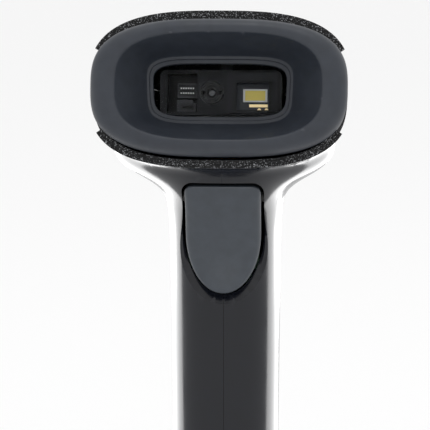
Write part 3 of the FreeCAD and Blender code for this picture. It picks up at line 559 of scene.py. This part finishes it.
def clear(name, tint, rough, ior):
    """Clear glass or plastic with a trace of haze."""
    material, shader = new_material(name, tint, rough)
    shader.inputs["Transmission Weight"].default_value = 1.0
    shader.inputs["IOR"].default_value = ior
    vary_roughness(material, shader, 0.3, rough, rough + 0.02)
    return material


def window_clear():
    """Anti-reflection window, which hardly bends or mirrors."""
    return clear("window_clear", (0.93, 0.95, 0.96), 0.0, 1.06)


def lens_glass():
    """Coated lens, which looks dark with a violet cast."""
    return moulded("lens_glass", (0.010, 0.008, 0.020), (0.014, 0.012, 0.026), (0.03, 0.06), 1.0, 0.001,
                   coat=1.0)


def light_lens():
    """Smoked diffuser over the status lamps."""
    return moulded("light_lens", (0.30, 0.32, 0.33), (0.36, 0.38, 0.39), (0.3, 0.42), 3.0, 0.01)


LOOKS = {
    "gloss_shell": gloss_black, "textured_cover": textured_black, "bezel_grey": bezel_grey,
    "trigger_grey": satin_grey, "window_clear": window_clear, "seal_rubber": seal_rubber,
    "engine_black": engine_black, "lens_metal": lens_metal, "lens_glass": lens_glass,
    "board_black": board_black, "board_green": board_green, "led_white": led_white,
    "led_phosphor": led_phosphor, "gold": gold, "chip_black": chip_black, "tin_can": tin_can,
    "steel": steel, "flex_amber": flex_amber, "sensor_glass": sensor_glass, "light_lens": light_lens,
    "button_cream": button_cream, "base_black": base_black,
}
MATERIALS = {slot: make() for slot, make in LOOKS.items()}


def finish_piece(thing, body, replaced, slot):
    """Material, body and CAD nodes of a finished piece."""
    thing.data.materials.clear()
    thing.data.materials.append(MATERIALS[slot])
    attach(thing, body)
    if replaced:
        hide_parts(*replaced)


# ---------------------------------------------------------------- covers
NOTCH_TOP = 9.5
NOTCH_BOTTOM = 10.7
NOTCH_DEPTH = 13.0
TOP_SEAM_FALL = 0.07
CHIN_SEAM_START = 9.0
CHIN_SEAM_SLOPE = 0.62
SEAM_GAP = 0.14
LIP_DEPTH = 7.5
WALL = 2.0
LEAST_ROOM = 0.15
OUTLINE_FINE = 1600
COVER_COUNT = 150
COVER_EDGE = 0.3
LIGHT_SLOT = ((-5.0, 5.0), (52.0, 56.0), (6.0, 26.0))
BOX_FACES = [(0, 1, 3, 2), (4, 6, 7, 5), (0, 4, 5, 1), (2, 3, 7, 6), (0, 2, 6, 4), (1, 5, 7, 3)]


def top_seam(depth):
    """Height of the seam under the top cover."""
    return NOTCH_TOP - TOP_SEAM_FALL * np.clip(np.asarray(depth, float) - NOTCH_DEPTH, 0, None)


def chin_seam(depth):
    """Height of the seam over the chin cover."""
    return -NOTCH_BOTTOM - CHIN_SEAM_SLOPE * np.clip(np.asarray(depth, float) - CHIN_SEAM_START, 0, None)


def cover_rows(depths, limit, upper, count):
    """The head's skin above or below a seam height, row by row from +X to -X."""
    rows = []
    for depth in depths:
        wide, high, drop = (float(value) for value in head_at(depth))
        outline = superellipse(wide, high, HEAD_POWER, OUTLINE_FINE) + np.array([0, drop])
        sign = 1 if upper else -1
        inside = outline[(outline[:, 1] - limit(depth)) * sign > 0]
        inside = inside[np.argsort(-np.arctan2((inside[:, 1] - drop) * sign, inside[:, 0]))][::-1]
        run = np.concatenate([[0], np.cumsum(np.hypot(*np.diff(inside, axis=0).T))])
        places = np.linspace(0, run[-1], count)
        side, up = np.interp(places, run, inside[:, 0]), np.interp(places, run, inside[:, 1])
        rows.append(np.stack([side, np.full(count, depth), up], axis=-1))
    return np.array(rows)


def seam_end(room, near, far):
    """Depth at which a cover's skin has run out between its seam and the head's outline."""
    for _ in range(40):
        middle = (near + far) / 2
        near, far = (middle, far) if room(middle) > LEAST_ROOM else (near, middle)
    return near


def top_room(depth):
    """Height of the top cover above its seam."""
    _, high, drop = head_at(depth)
    return drop + high - top_seam(depth) - SEAM_GAP


def chin_room(depth):
    """Height of the chin cover below its seam."""
    _, high, drop = head_at(depth)
    return chin_seam(depth) - SEAM_GAP - drop + high


def make_top_cover():
    """Textured lid of the head, with the status light's slot."""
    end = seam_end(top_room, 60.0, 78.5)
    share = np.linspace(0, 1, 90)
    depths = LIP_DEPTH + (end - LIP_DEPTH) * (1 - (1 - share) ** 1.7)
    rows = cover_rows(depths, lambda depth: top_seam(depth) + SEAM_GAP / 2, True, COVER_COUNT)
    cover = grid_object("top_cover_skin", from_head(rows), flip=True)
    thicken(cover, WALL)
    apply_modifiers(cover)
    sides, slot_depths, ups = LIGHT_SLOT
    corners = [(side, depth, up) for side in sides for depth in slot_depths for up in ups]
    cut_with(cover, mesh_object("slot", from_head(corners), BOX_FACES, smooth=False))
    round_edges(cover, COVER_EDGE, 3, 50)
    finish_piece(cover, "housing", ["top_cover"], "textured_cover")


def make_chin_cover():
    """Textured lower lip and underside, which runs back under the flare."""
    end = seam_end(chin_room, 15.0, 30.0)
    share = np.linspace(0, 1, 50)
    depths = LIP_DEPTH + (end - LIP_DEPTH) * (1 - (1 - share) ** 1.4)
    rows = cover_rows(depths, lambda depth: chin_seam(depth) - SEAM_GAP / 2, False, COVER_COUNT)
    cover = grid_object("chin_cover_skin", from_head(rows))
    thicken(cover, WALL)
    round_edges(cover, COVER_EDGE, 3, 50)
    finish_piece(cover, "housing", ["chin_cover"], "textured_cover")


# ---------------------------------------------------------------- nose bezel
BEZEL_HALF = (31.0, 16.6)
RIM_HALF = (24.7, 12.8)
FRAME_HALF = (17.75, 8.3)
APERTURE_HALF = (16.2, 6.5)
BEZEL_BACK = 12.8
WINDOW_POWER = 4.6
WINDOW_TAPER = 0.022
BEZEL_COUNT = 480
RIM_POWER = 3.0
RIM_ROUND = 1.1
RIM_GROWTH = 0.9
FUNNEL_FOOT = 10.4
BEZEL_WALL = 2.0


def bezel_ring(depth, half, power, taper=0.0):
    """One outline of the bezel in the row frame; taper widens its top."""
    outline = superellipse(half[0], half[1], power, BEZEL_COUNT)
    side = outline[:, 0] * (1 + taper * outline[:, 1] / half[1])
    return from_head(np.stack([side, np.full(BEZEL_COUNT, depth), outline[:, 1]], -1))


def make_bezel():
    """Rolled nose ring, funnel and stepped window frame in one closed skin."""
    wide, high = BEZEL_HALF
    nose = ((BEZEL_BACK, 0.2, 0.2), (9.8, 0.05, 0.05), (4.5, 0.0, 0.0), (2.9, 0.35, 0.2), (2.0, 0.75, 0.4),
            (1.2, 1.4, 0.8), (0.7, 2.0, 1.2), (0.3, 2.75, 1.7), (0.08, 3.5, 2.2), (0.0, 4.3, 2.7))
    rings = [(depth, (wide - side, high - up), HEAD_POWER) for depth, side, up in nose]
    for angle in np.linspace(0.0, 1.1, 7):
        grown = RIM_GROWTH - RIM_ROUND * math.sin(angle)
        half = (RIM_HALF[0] + grown, RIM_HALF[1] + grown * 0.8)
        rings.append((RIM_ROUND * (1 - math.cos(angle)), half, RIM_POWER))
    mouth, lip = np.array(rings[-1][1]), rings[-1][0]
    foot = np.array(FRAME_HALF) + 0.15
    for share in np.linspace(0.08, 1.0, 14):
        half = tuple(mouth + (foot - mouth) * share)
        power = RIM_POWER + (WINDOW_POWER - RIM_POWER) * share
        rings.append((lip + (FUNNEL_FOOT - lip) * share, half, power, WINDOW_TAPER * share))
    wide, high = APERTURE_HALF
    steps = ((10.62, 1.5, 1.75), (10.66, 1.1, 1.35), (10.72, 0.95, 1.1), (11.2, 0.85, 1.0),
             (11.28, 0.75, 0.9), (11.3, 0.3, 0.35), (11.36, 0.1, 0.12), (11.6, 0.0, 0.0),
             (13.0, 0.0, 0.0), (13.0, 3.0, 3.0), (10.6, 3.6, 3.6))
    rings += [(depth, (wide + side, high + up), WINDOW_POWER, WINDOW_TAPER) for depth, side, up in steps]
    inner = (BEZEL_HALF[0] - BEZEL_WALL, BEZEL_HALF[1] - BEZEL_WALL)
    rings += [(3.2, (RIM_HALF[0] + 1.8, RIM_HALF[1] + 1.2), HEAD_POWER),
              (4.5, inner, HEAD_POWER), (BEZEL_BACK, inner, HEAD_POWER)]
    bezel = grid_object("bezel_ring", np.array([bezel_ring(*row) for row in rings]), True, True)
    fix_normals(bezel)
    smooth_by_angle(bezel, 32)
    finish_piece(bezel, "housing", ["nose_bezel"], "bezel_grey")


# ---------------------------------------------------------------- trigger outline and pocket
TRIGGER_HALF_WIDTH = 9.65
TRIGGER_TOP = 124.5
TRIGGER_BOTTOM = 95.4
TRIGGER_CORNER = 2.2
TRIGGER_BOWL = 15.0
TRIGGER_GAP = 0.75
POCKET_BEVEL = 2.3
POCKET_LEVEL = 118.0
OUTLINE_COUNT = 220
TRIGGER_CENTRE = 111.5
TRIGGER_EDGE = 0.9
TRIGGER_PROUD = 1.9
TRIGGER_BACK = -11.5
PADDLE_WALL = 2.6
WELL_WALL = 1.4
WELL_REACH = -9.0
# reach and height of points down the middle of the trigger's scooped face
FRONT_PROFILE = ((-26.4, 126.0), (-24.2, 121.5), (-21.6, 115.0), (-19.9, 108.5), (-19.5, 102.0),
                 (-20.2, 97.6), (-21.2, 94.0))


def trigger_outline(gap=0.0, bevel=0.0):
    """Shield outline as (side, height), grown outwards by a gap that widens towards the bottom."""
    half, corner, bowl = TRIGGER_HALF_WIDTH, TRIGGER_CORNER, TRIGGER_BOWL
    belly = TRIGGER_BOTTOM + bowl
    turn = np.linspace(0, math.pi / 2, 60)
    inner, shoulder = half - corner, TRIGGER_TOP - corner
    right = [np.stack([np.linspace(0, inner, 30), np.full(30, TRIGGER_TOP)], -1),
             np.stack([inner + corner * np.sin(turn), shoulder + corner * np.cos(turn)], -1),
             np.stack([np.full(40, half), np.linspace(shoulder, belly, 40)], -1),
             np.stack([half * np.cos(turn), belly - bowl * np.sin(turn)], -1)]
    right = np.concatenate(right)
    run = np.concatenate([[0], np.cumsum(np.hypot(*np.diff(right, axis=0).T))])
    places = np.linspace(0, run[-1], OUTLINE_COUNT // 2 + 1)
    right = np.stack([np.interp(places, run, right[:, 0]), np.interp(places, run, right[:, 1])], -1)
    points = np.concatenate([right, (right * [-1, 1])[-2:0:-1]])
    ahead, behind = np.roll(points, -1, axis=0), np.roll(points, 1, axis=0)
    way = ahead - behind
    way /= np.linalg.norm(way, axis=1)[:, None]
    outward = np.stack([-way[:, 1], way[:, 0]], -1)
    outward *= np.sign((outward * (points - [0, 110])).sum(1))[:, None]
    share = np.clip((POCKET_LEVEL - points[:, 1]) / 22.0, 0, 1)
    grow = gap + bevel * share ** 2 * (3 - 2 * share)
    return points + outward * grow[:, None]


def skin_front(side, height):
    """Reach of the handle's front skin at a side and height."""
    origin = np.stack([side, np.zeros_like(side), height], -1)
    way = np.zeros_like(origin)
    way[..., 1] = -1
    return march(origin, way, handle_distance, 45.0)[..., 1]


def ring(outline, reach):
    """Outline points at given reaches."""
    return np.stack([outline[:, 0], reach, outline[:, 1]], -1)


def pocket_cutter():
    """Closed solid that opens the shell for the trigger, with a soft chamfer round it."""
    widest = trigger_outline(TRIGGER_GAP + 0.35, POCKET_BEVEL * 1.35)
    rings = [ring(widest, np.full(len(widest), -60.0))]
    for gap, bevel, below in ((TRIGGER_GAP + 0.35, POCKET_BEVEL * 1.35, -0.9),
                              (TRIGGER_GAP + 0.1, POCKET_BEVEL, 0.0),
                              (TRIGGER_GAP, POCKET_BEVEL * 0.4, 0.75), (TRIGGER_GAP, 0.0, 1.5)):
        outline = trigger_outline(gap, bevel)
        rings.append(ring(outline, skin_front(outline[:, 0], outline[:, 1]) + below))
    outline = trigger_outline(TRIGGER_GAP)
    rings.append(ring(outline, np.full(len(outline), -6.0)))
    points = np.array(rings)
    count = len(outline)
    faces = grid_faces(len(rings), count, wrap_columns=True)
    faces.append(tuple(range(count))[::-1])
    faces.append(tuple(range((len(rings) - 1) * count, len(rings) * count)))
    cutter = mesh_object("pocket_cutter", points.reshape(-1, 3), faces)
    fix_normals(cutter)
    return cutter


def make_trigger_well():
    """Side walls of the trigger's pocket."""
    rings = []
    deepest = np.full(OUTLINE_COUNT, WELL_REACH)
    inner, outer = trigger_outline(TRIGGER_GAP), trigger_outline(TRIGGER_GAP + WELL_WALL)
    for outline, below in ((inner, 1.42), (inner, None), (outer, None), (outer, 2.2)):
        reach = deepest
        if below is not None:
            reach = np.minimum(skin_front(outline[:, 0], outline[:, 1]) + below, WELL_REACH)
        rings.append(ring(outline, reach))
    well = grid_object("trigger_well", np.array(rings), wrap_columns=True, wrap_rows=True)
    fix_normals(well)
    smooth_by_angle(well)
    finish_piece(well, "housing", [], "gloss_shell")


def make_trigger():
    """Scooped trigger with rounded edges and a skirt."""
    heights = [row[1] for row in FRONT_PROFILE][::-1]
    profile = spline(heights, [row[0] for row in FRONT_PROFILE][::-1])
    radius = TRIGGER_EDGE
    rings = []

    def face_reach(outline):
        """Reach of the scoop or of a face proud of the skin, whichever is further back, softly joined."""
        scoop = profile(outline[:, 1])
        skin = skin_front(outline[:, 0], outline[:, 1]) - TRIGGER_PROUD
        soft = 0.6
        return soft * np.log(np.exp(scoop / soft) + np.exp(skin / soft)) - soft * math.log(2) * 0.5

    edge = trigger_outline()
    front = face_reach(edge)
    centre = np.array([0.0, TRIGGER_CENTRE])
    inner_edge = trigger_outline(-1.5)
    skirt_end = np.full(len(edge), TRIGGER_BACK)
    rings.append(ring(inner_edge, face_reach(inner_edge) + PADDLE_WALL))
    rings.append(ring(inner_edge, skirt_end))
    rings.append(ring(edge, skirt_end))
    rings.append(ring(edge, (front + radius + TRIGGER_BACK) / 2))
    for angle in np.linspace(0, math.pi / 2, 7):
        inset = radius * (1 - math.cos(angle))
        outline = trigger_outline(-inset)
        rings.append(ring(outline, face_reach(outline) + radius * (1 - math.sin(angle))))
    base = trigger_outline(-radius)
    for share in np.linspace(0.93, 0.03, 22):
        outline = centre + (base - centre) * share
        rings.append(ring(outline, face_reach(outline)))
    points = np.array(rings)
    count = points.shape[1]
    faces = grid_faces(len(rings), count, wrap_columns=True)
    last = (len(rings) - 1) * count
    tip = len(rings) * count
    middle = ring(centre[None, :], face_reach(centre[None, :]))
    faces += [(last + index, last + (index + 1) % count, tip) for index in range(count)]
    back = ring(centre[None, :], face_reach(centre[None, :]) + PADDLE_WALL)
    faces += [((index + 1) % count, index, tip + 1) for index in range(count)]
    trigger = mesh_object("trigger_paddle", np.concatenate([points.reshape(-1, 3), middle, back]), faces)
    fix_normals(trigger)
    smooth_by_angle(trigger, 40)
    finish_piece(trigger, "trigger", ["trigger"], "trigger_grey")


# ---------------------------------------------------------------- shell screws' seats
SCREW_PLACES = ((12.0, 34.0), (12.0, 88.0))
SCREW_SEAT = 8.5
SCREW_HOLE = 2.3
BOSS_RADIUS = 3.0
SHANK_HOLE = 1.15


def turned_rings(profile, place, count=64):
    """Rings about a line along X through (reach, height), from (side, radius) pairs."""
    turn = np.linspace(0, 2 * math.pi, count, endpoint=False)
    rows = [np.stack([np.full(count, side), place[0] + radius * np.cos(turn),
                      place[1] + radius * np.sin(turn)], -1) for side, radius in profile]
    return np.array(rows)


def screw_hole(place):
    """Closed cutter for the counterbore over a shell screw."""
    rows = turned_rings(((SCREW_SEAT, SCREW_HOLE), (30.0, SCREW_HOLE)), place)
    count = rows.shape[1]
    faces = grid_faces(2, count, wrap_columns=True)
    faces += [tuple(range(count)), tuple(range(count, 2 * count))]
    cutter = mesh_object("screw_hole", rows.reshape(-1, 3), faces, smooth=False)
    fix_normals(cutter)
    return cutter


def make_screw_bosses():
    """Hollow posts under the screw heads."""
    for index, place in enumerate(SCREW_PLACES):
        profile = ((0.1, BOSS_RADIUS - 0.15), (0.25, BOSS_RADIUS), (SCREW_SEAT - 0.15, BOSS_RADIUS),
                   (SCREW_SEAT, BOSS_RADIUS - 0.15), (SCREW_SEAT, SHANK_HOLE), (0.1, SHANK_HOLE))
        boss = grid_object(f"screw_boss_{index}", turned_rings(profile, place), True, True)
        fix_normals(boss)
        smooth_by_angle(boss)
        finish_piece(boss, "housing", [], "gloss_shell")


# ---------------------------------------------------------------- shell halves
BASE_EDGE = 6.55
SPLIT_GAP = 0.035
GRID_TURN = 104.0


def slice_centre(height):
    """Middle of the horizontal slices, which drifts forward into the head."""
    share = np.clip((height - 110.0) / 28.0, 0, 1)
    return -8.0 * share ** 2 * (3 - 2 * share)


def skin_point(angle, height):
    """Point of the joined skin in a direction at a height."""
    angle, height = np.broadcast_arrays(angle, height)
    origin = np.stack([np.zeros_like(height), slice_centre(height), height], -1)
    way = np.stack([np.cos(angle), np.sin(angle), np.zeros_like(height)], -1)
    return march(origin, way, skin_distance, 48.0)


def inside_shell(points):
    """Positive where the skin belongs to the gloss halves."""
    local = to_head(points)
    depth, up = local[..., 1], local[..., 2]
    under_top = top_seam(depth) - SEAM_GAP / 2 - up
    behind_notch = np.maximum(depth - NOTCH_DEPTH - SEAM_GAP, -NOTCH_BOTTOM - SEAM_GAP - up)
    over_chin = np.maximum(up - chin_seam(depth) - SEAM_GAP / 2, head_distance(points) - 0.45)
    return np.minimum(np.minimum(under_top, behind_notch), over_chin)


def shell_top(angles):
    """Height at which each direction's skin reaches a seam."""
    heights = np.arange(122.0, 171.0, 0.5)
    grid_angle, grid_height = np.meshgrid(angles, heights)
    value = inside_shell(skin_point(grid_angle, grid_height))
    first = np.argmax(value < 0, axis=0)
    low, high = heights[np.maximum(first - 1, 0)], heights[first]
    for _ in range(16):
        middle = (low + high) / 2
        good = inside_shell(skin_point(angles, middle)) > 0
        low, high = np.where(good, middle, low), np.where(good, high, middle)
    return low


def make_shells():
    """Both gloss halves, cut for the trigger."""
    step = 1
    fine = np.linspace(-math.pi / 2, math.pi / 2, 361)
    tops = shell_top(fine)
    weight = np.hypot(25.0 * np.gradient(fine), 0.45 * np.gradient(tops))
    run = np.concatenate([[0], np.cumsum((weight[1:] + weight[:-1]) / 2)])
    angles = np.interp(np.linspace(0, run[-1], 300 // step), run, fine)
    tops = np.interp(angles, fine, tops)
    low = np.linspace(BASE_EDGE, GRID_TURN, 44 // step)
    share = np.linspace(0, 1, 120 // step)[1:]
    heights = np.concatenate([np.repeat(low[:, None], len(angles), 1),
                              GRID_TURN + (tops - GRID_TURN)[None, :] * share[:, None]])
    points = skin_point(np.repeat(angles[None, :], len(heights), 0), heights)
    points[..., 0] = np.maximum(points[..., 0], SPLIT_GAP)
    for name, sign in (("right_shell", 1), ("left_shell", -1)):
        half = points * np.array([sign, 1, 1])
        shell = grid_object(name + "_skin", half, flip=sign < 0)
        thicken(shell, WALL)
        round_edges(shell, 0.16, 2, 50)
        apply_modifiers(shell)
        cut_with(shell, pocket_cutter())
        if sign > 0:
            for place in SCREW_PLACES:
                cut_with(shell, screw_hole(place))
        smooth_by_angle(shell, 32)
        finish_piece(shell, "housing", [name], "gloss_shell")


# ---------------------------------------------------------------- lens lock ring
LENS_SIDE = -2.25
LENS_DEPTH = 17.0
LENS_PROFILE = ((2.75, 0.9), (2.75, 0.12), (2.66, 0.0), (2.42, 0.0), (2.36, 0.16), (2.28, 0.16),
                (2.22, 0.04), (1.78, 0.04), (1.72, 0.18), (1.64, 0.18), (1.58, 0.08), (1.24, 0.08),
                (1.18, 0.2), (0.95, 0.26), (0.75, 0.5), (0.75, 0.9))
NOTCH_ANGLE = 0.2
NOTCH_RADIUS = 1.8


def make_lens_ring():
    """Grooved retaining ring with two spanner notches round the iris."""
    turn = np.linspace(0, 2 * math.pi, 160, endpoint=False)
    off_axis = np.abs((turn + math.pi / 2) % math.pi - math.pi / 2)
    rows = []
    for radius, depth in LENS_PROFILE:
        sunk = np.where((off_axis < NOTCH_ANGLE) & (radius > NOTCH_RADIUS), 0.6, 0.0)
        deep = LENS_DEPTH + np.maximum(depth, sunk)
        rows.append(np.stack([LENS_SIDE + radius * np.cos(turn), deep, radius * np.sin(turn)], -1))
    lock = grid_object("lens_ring", from_head(np.array(rows)), True, True)
    fix_normals(lock)
    smooth_by_angle(lock, 25)
    finish_piece(lock, "housing", ["lens_lock_ring"], "lens_metal")


# ---------------------------------------------------------------- trigger spring
SPRING_RADIUS = 1.8
SPRING_WIRE = 0.32
SPRING_TURNS = 6.0
SPRING_HEIGHT = 101.0
SPRING_STEPS = 360
WIRE_SIDES = 14


def make_spring():
    """Coil behind the trigger, fixed to the housing at one length."""
    low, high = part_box("trigger_spring")
    front, back = low.y / MM + SPRING_WIRE, high.y / MM - SPRING_WIRE
    share = np.linspace(0, 1, SPRING_STEPS)
    turn = 2 * math.pi * SPRING_TURNS * share
    outward = np.stack([np.cos(turn), np.zeros_like(turn), np.sin(turn)], -1)
    middle = outward * SPRING_RADIUS + np.stack([np.zeros_like(turn), front + (back - front) * share,
                                                 np.full_like(turn, SPRING_HEIGHT)], -1)
    around = np.linspace(0, 2 * math.pi, WIRE_SIDES, endpoint=False)[None, :, None]
    along = np.array([0.0, 1.0, 0.0])
    rows = middle[:, None] + SPRING_WIRE * (np.cos(around) * outward[:, None] + np.sin(around) * along)
    total = SPRING_STEPS * WIRE_SIDES
    faces = grid_faces(SPRING_STEPS, WIRE_SIDES, wrap_columns=True)
    faces += [tuple(range(WIRE_SIDES)), tuple(range(total - WIRE_SIDES, total))]
    spring = mesh_object("coil_spring", rows.reshape(-1, 3), faces)
    fix_normals(spring)
    smooth_by_angle(spring, 60)
    finish_piece(spring, "housing", ["trigger_spring"], "steel")
    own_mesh(spring)


# ---------------------------------------------------------------- carried-over CAD nodes
ROUNDED = {
    "base_cap": 0.5, "engine_frame": 0.12, "illumination_mask": 0.1, "aimer_module": 0.15,
    "board_connector": 0.12, "white_led_body": 0.15, "white_led_phosphor": 0.04, "lens_barrel": 0.12,
    "window_gasket": 0.12, "scan_window": 0.15, "status_light_lens": 0.25,
    "board_chips": 0.1, "shield_can": 0.2, "beeper": 0.3, "shell_screws": 0.12, "base_screws": 0.12,
    "engine_screws": 0.1, "trigger_switch": 0.2, "cable_jack": 0.15, "base_seal": 0.1,
}

# steel parts drawn with the black barrel material: on the trigger pin this black is painted shade, as the
# pin lies in shadow in the gaps beside the trigger; the engine bracket is drawn black where it shows through
# the window
STEEL_DRAWN_BLACK = ("trigger_pin", "engine_bracket")
REMADE = ("top_cover", "chin_cover", "nose_bezel", "left_shell", "right_shell", "trigger",
          "lens_lock_ring", "trigger_spring")


def dress_nodes():
    """Material, soft edges and smooth shading on every CAD node that still shows."""
    for part in frame["record"]["subparts"]:
        node = part["node"]
        if node in REMADE:
            continue
        thing = NODES[node]
        # the trigger pin's black here is painted shade
        look = "lens_metal" if node in STEEL_DRAWN_BLACK else part["material_slot"]
        for slot in thing.material_slots:
            slot.link = "OBJECT"
            slot.material = MATERIALS[look]
        thing.data.shade_smooth()
        thing.data.set_sharp_from_angle(angle=math.radians(30))
        if node in ROUNDED:
            round_edges(thing, ROUNDED[node], 3, 35)


# ---------------------------------------------------------------- floor, light and camera
FLOOR_HALF = 9000.0
FLOOR_LINES = 13
FLOOR_DROP = 0.05

# name, azimuth, elevation, distance in metres, size in metres, radiance; each box has a twin at -azimuth
SIDE_BOXES = (
    ("box", 148, 0, 0.42, (0.3, 0.42), 4.2),
    ("soft_box", 116, 0, 0.42, (0.16, 0.42), 1.8),
    ("low_box", 134, -30, 0.17, (0.14, 0.11), 4.5),
)
LIGHT_AIM = Vector((0.0, -0.02, 0.12))

VIEW_DISTANCE = 0.5
VIEW_HALF_WIDTH = 0.05133
VIEW_AZIMUTH = 2.5
VIEW_ELEVATION = 6.0
VIEW_TURN = (80.46, 0.0, 2.58)


def direction(azimuth, elevation):
    """Unit vector towards a place; azimuth counts from the front towards +X, in degrees."""
    turn, rise = math.radians(azimuth), math.radians(elevation)
    return Vector((math.sin(turn) * math.cos(rise), -math.cos(turn) * math.cos(rise), math.sin(rise)))


def make_floor():
    """Pale floor that fills the background."""
    line = np.linspace(-FLOOR_HALF, FLOOR_HALF, FLOOR_LINES)
    across, along = np.meshgrid(line, line)
    floor = grid_object("floor", np.stack([across, along, np.full_like(across, -FLOOR_DROP)], axis=-1))
    material, shader = new_material("floor", (0.92, 0.92, 0.92), 0.9)
    vary_roughness(material, shader, 0.01, 0.85, 0.95)
    shader.inputs["Specular IOR Level"].default_value = 0.1
    floor.data.materials.append(material)


def make_light(name, azimuth, elevation, distance, size, radiance, only=None):
    """A soft box aimed at the head, which lights everything or only one collection."""
    way = direction(azimuth, elevation)
    data = bpy.data.lights.new(name, "AREA")
    data.shape = "RECTANGLE"
    data.size, data.size_y = size
    data.energy = radiance * math.pi * size[0] * size[1]
    lamp = bpy.data.objects.new(name, data)
    lamp.location = LIGHT_AIM + way * distance
    lamp.rotation_euler = (-way).to_track_quat("-Z", "Y").to_euler()
    lamp.visible_camera = False
    bpy.context.scene.collection.objects.link(lamp)
    if only:
        lamp.light_linking.receiver_collection = only


def collect(name, members):
    """A collection of finished pieces, for a light to be limited to."""
    group = bpy.data.collections.new(name)
    for member in members:
        group.objects.link(bpy.data.objects[member])
    return group


def make_studio():
    """White surroundings and a top box, side boxes for the shells alone, a key box for the trigger alone."""
    world = bpy.data.worlds.new("studio")
    bpy.context.scene.world = world
    world.use_nodes = True
    sky = world.node_tree.nodes["Background"]
    sky.inputs["Color"].default_value = (1.0, 1.0, 1.0, 1.0)
    sky.inputs["Strength"].default_value = 1.0
    gloss = collect("gloss", ("right_shell_skin", "left_shell_skin"))
    for side_name, side in (("right", 1), ("left", -1)):
        for name, azimuth, *settings in SIDE_BOXES:
            make_light(f"{side_name}_{name}", side * azimuth, *settings, gloss)
    make_light("top_box", 20, 78, 0.9, (0.4, 0.3), 3.0)
    grip = collect("grip", ("trigger_paddle",))
    make_light("key_box", 4, 12, 0.6, (0.05, 0.05), 90.0, grip)


def make_camera():
    """Half a metre from the nose, a little above it and to its right."""
    data = bpy.data.cameras.new("camera")
    data.sensor_fit = "HORIZONTAL"
    data.angle = 2 * math.atan(VIEW_HALF_WIDTH / VIEW_DISTANCE)
    camera = bpy.data.objects.new("camera", data)
    nose = Vector((0, -NOSE_REACH, NOSE_HEIGHT)) * MM
    camera.location = nose + direction(VIEW_AZIMUTH, VIEW_ELEVATION) * VIEW_DISTANCE
    camera.rotation_euler = [math.radians(turn) for turn in VIEW_TURN]
    bpy.context.scene.collection.objects.link(camera)
    bpy.context.scene.camera = camera


# ---------------------------------------------------------------- all of it
make_top_cover()
make_chin_cover()
make_bezel()
make_shells()
make_trigger_well()
make_screw_bosses()
make_trigger()
make_lens_ring()
make_spring()
dress_nodes()
make_floor()
make_studio()
make_camera()
bpy.context.scene.view_settings.view_transform = "Standard"
bpy.context.scene.view_settings.look = "None"
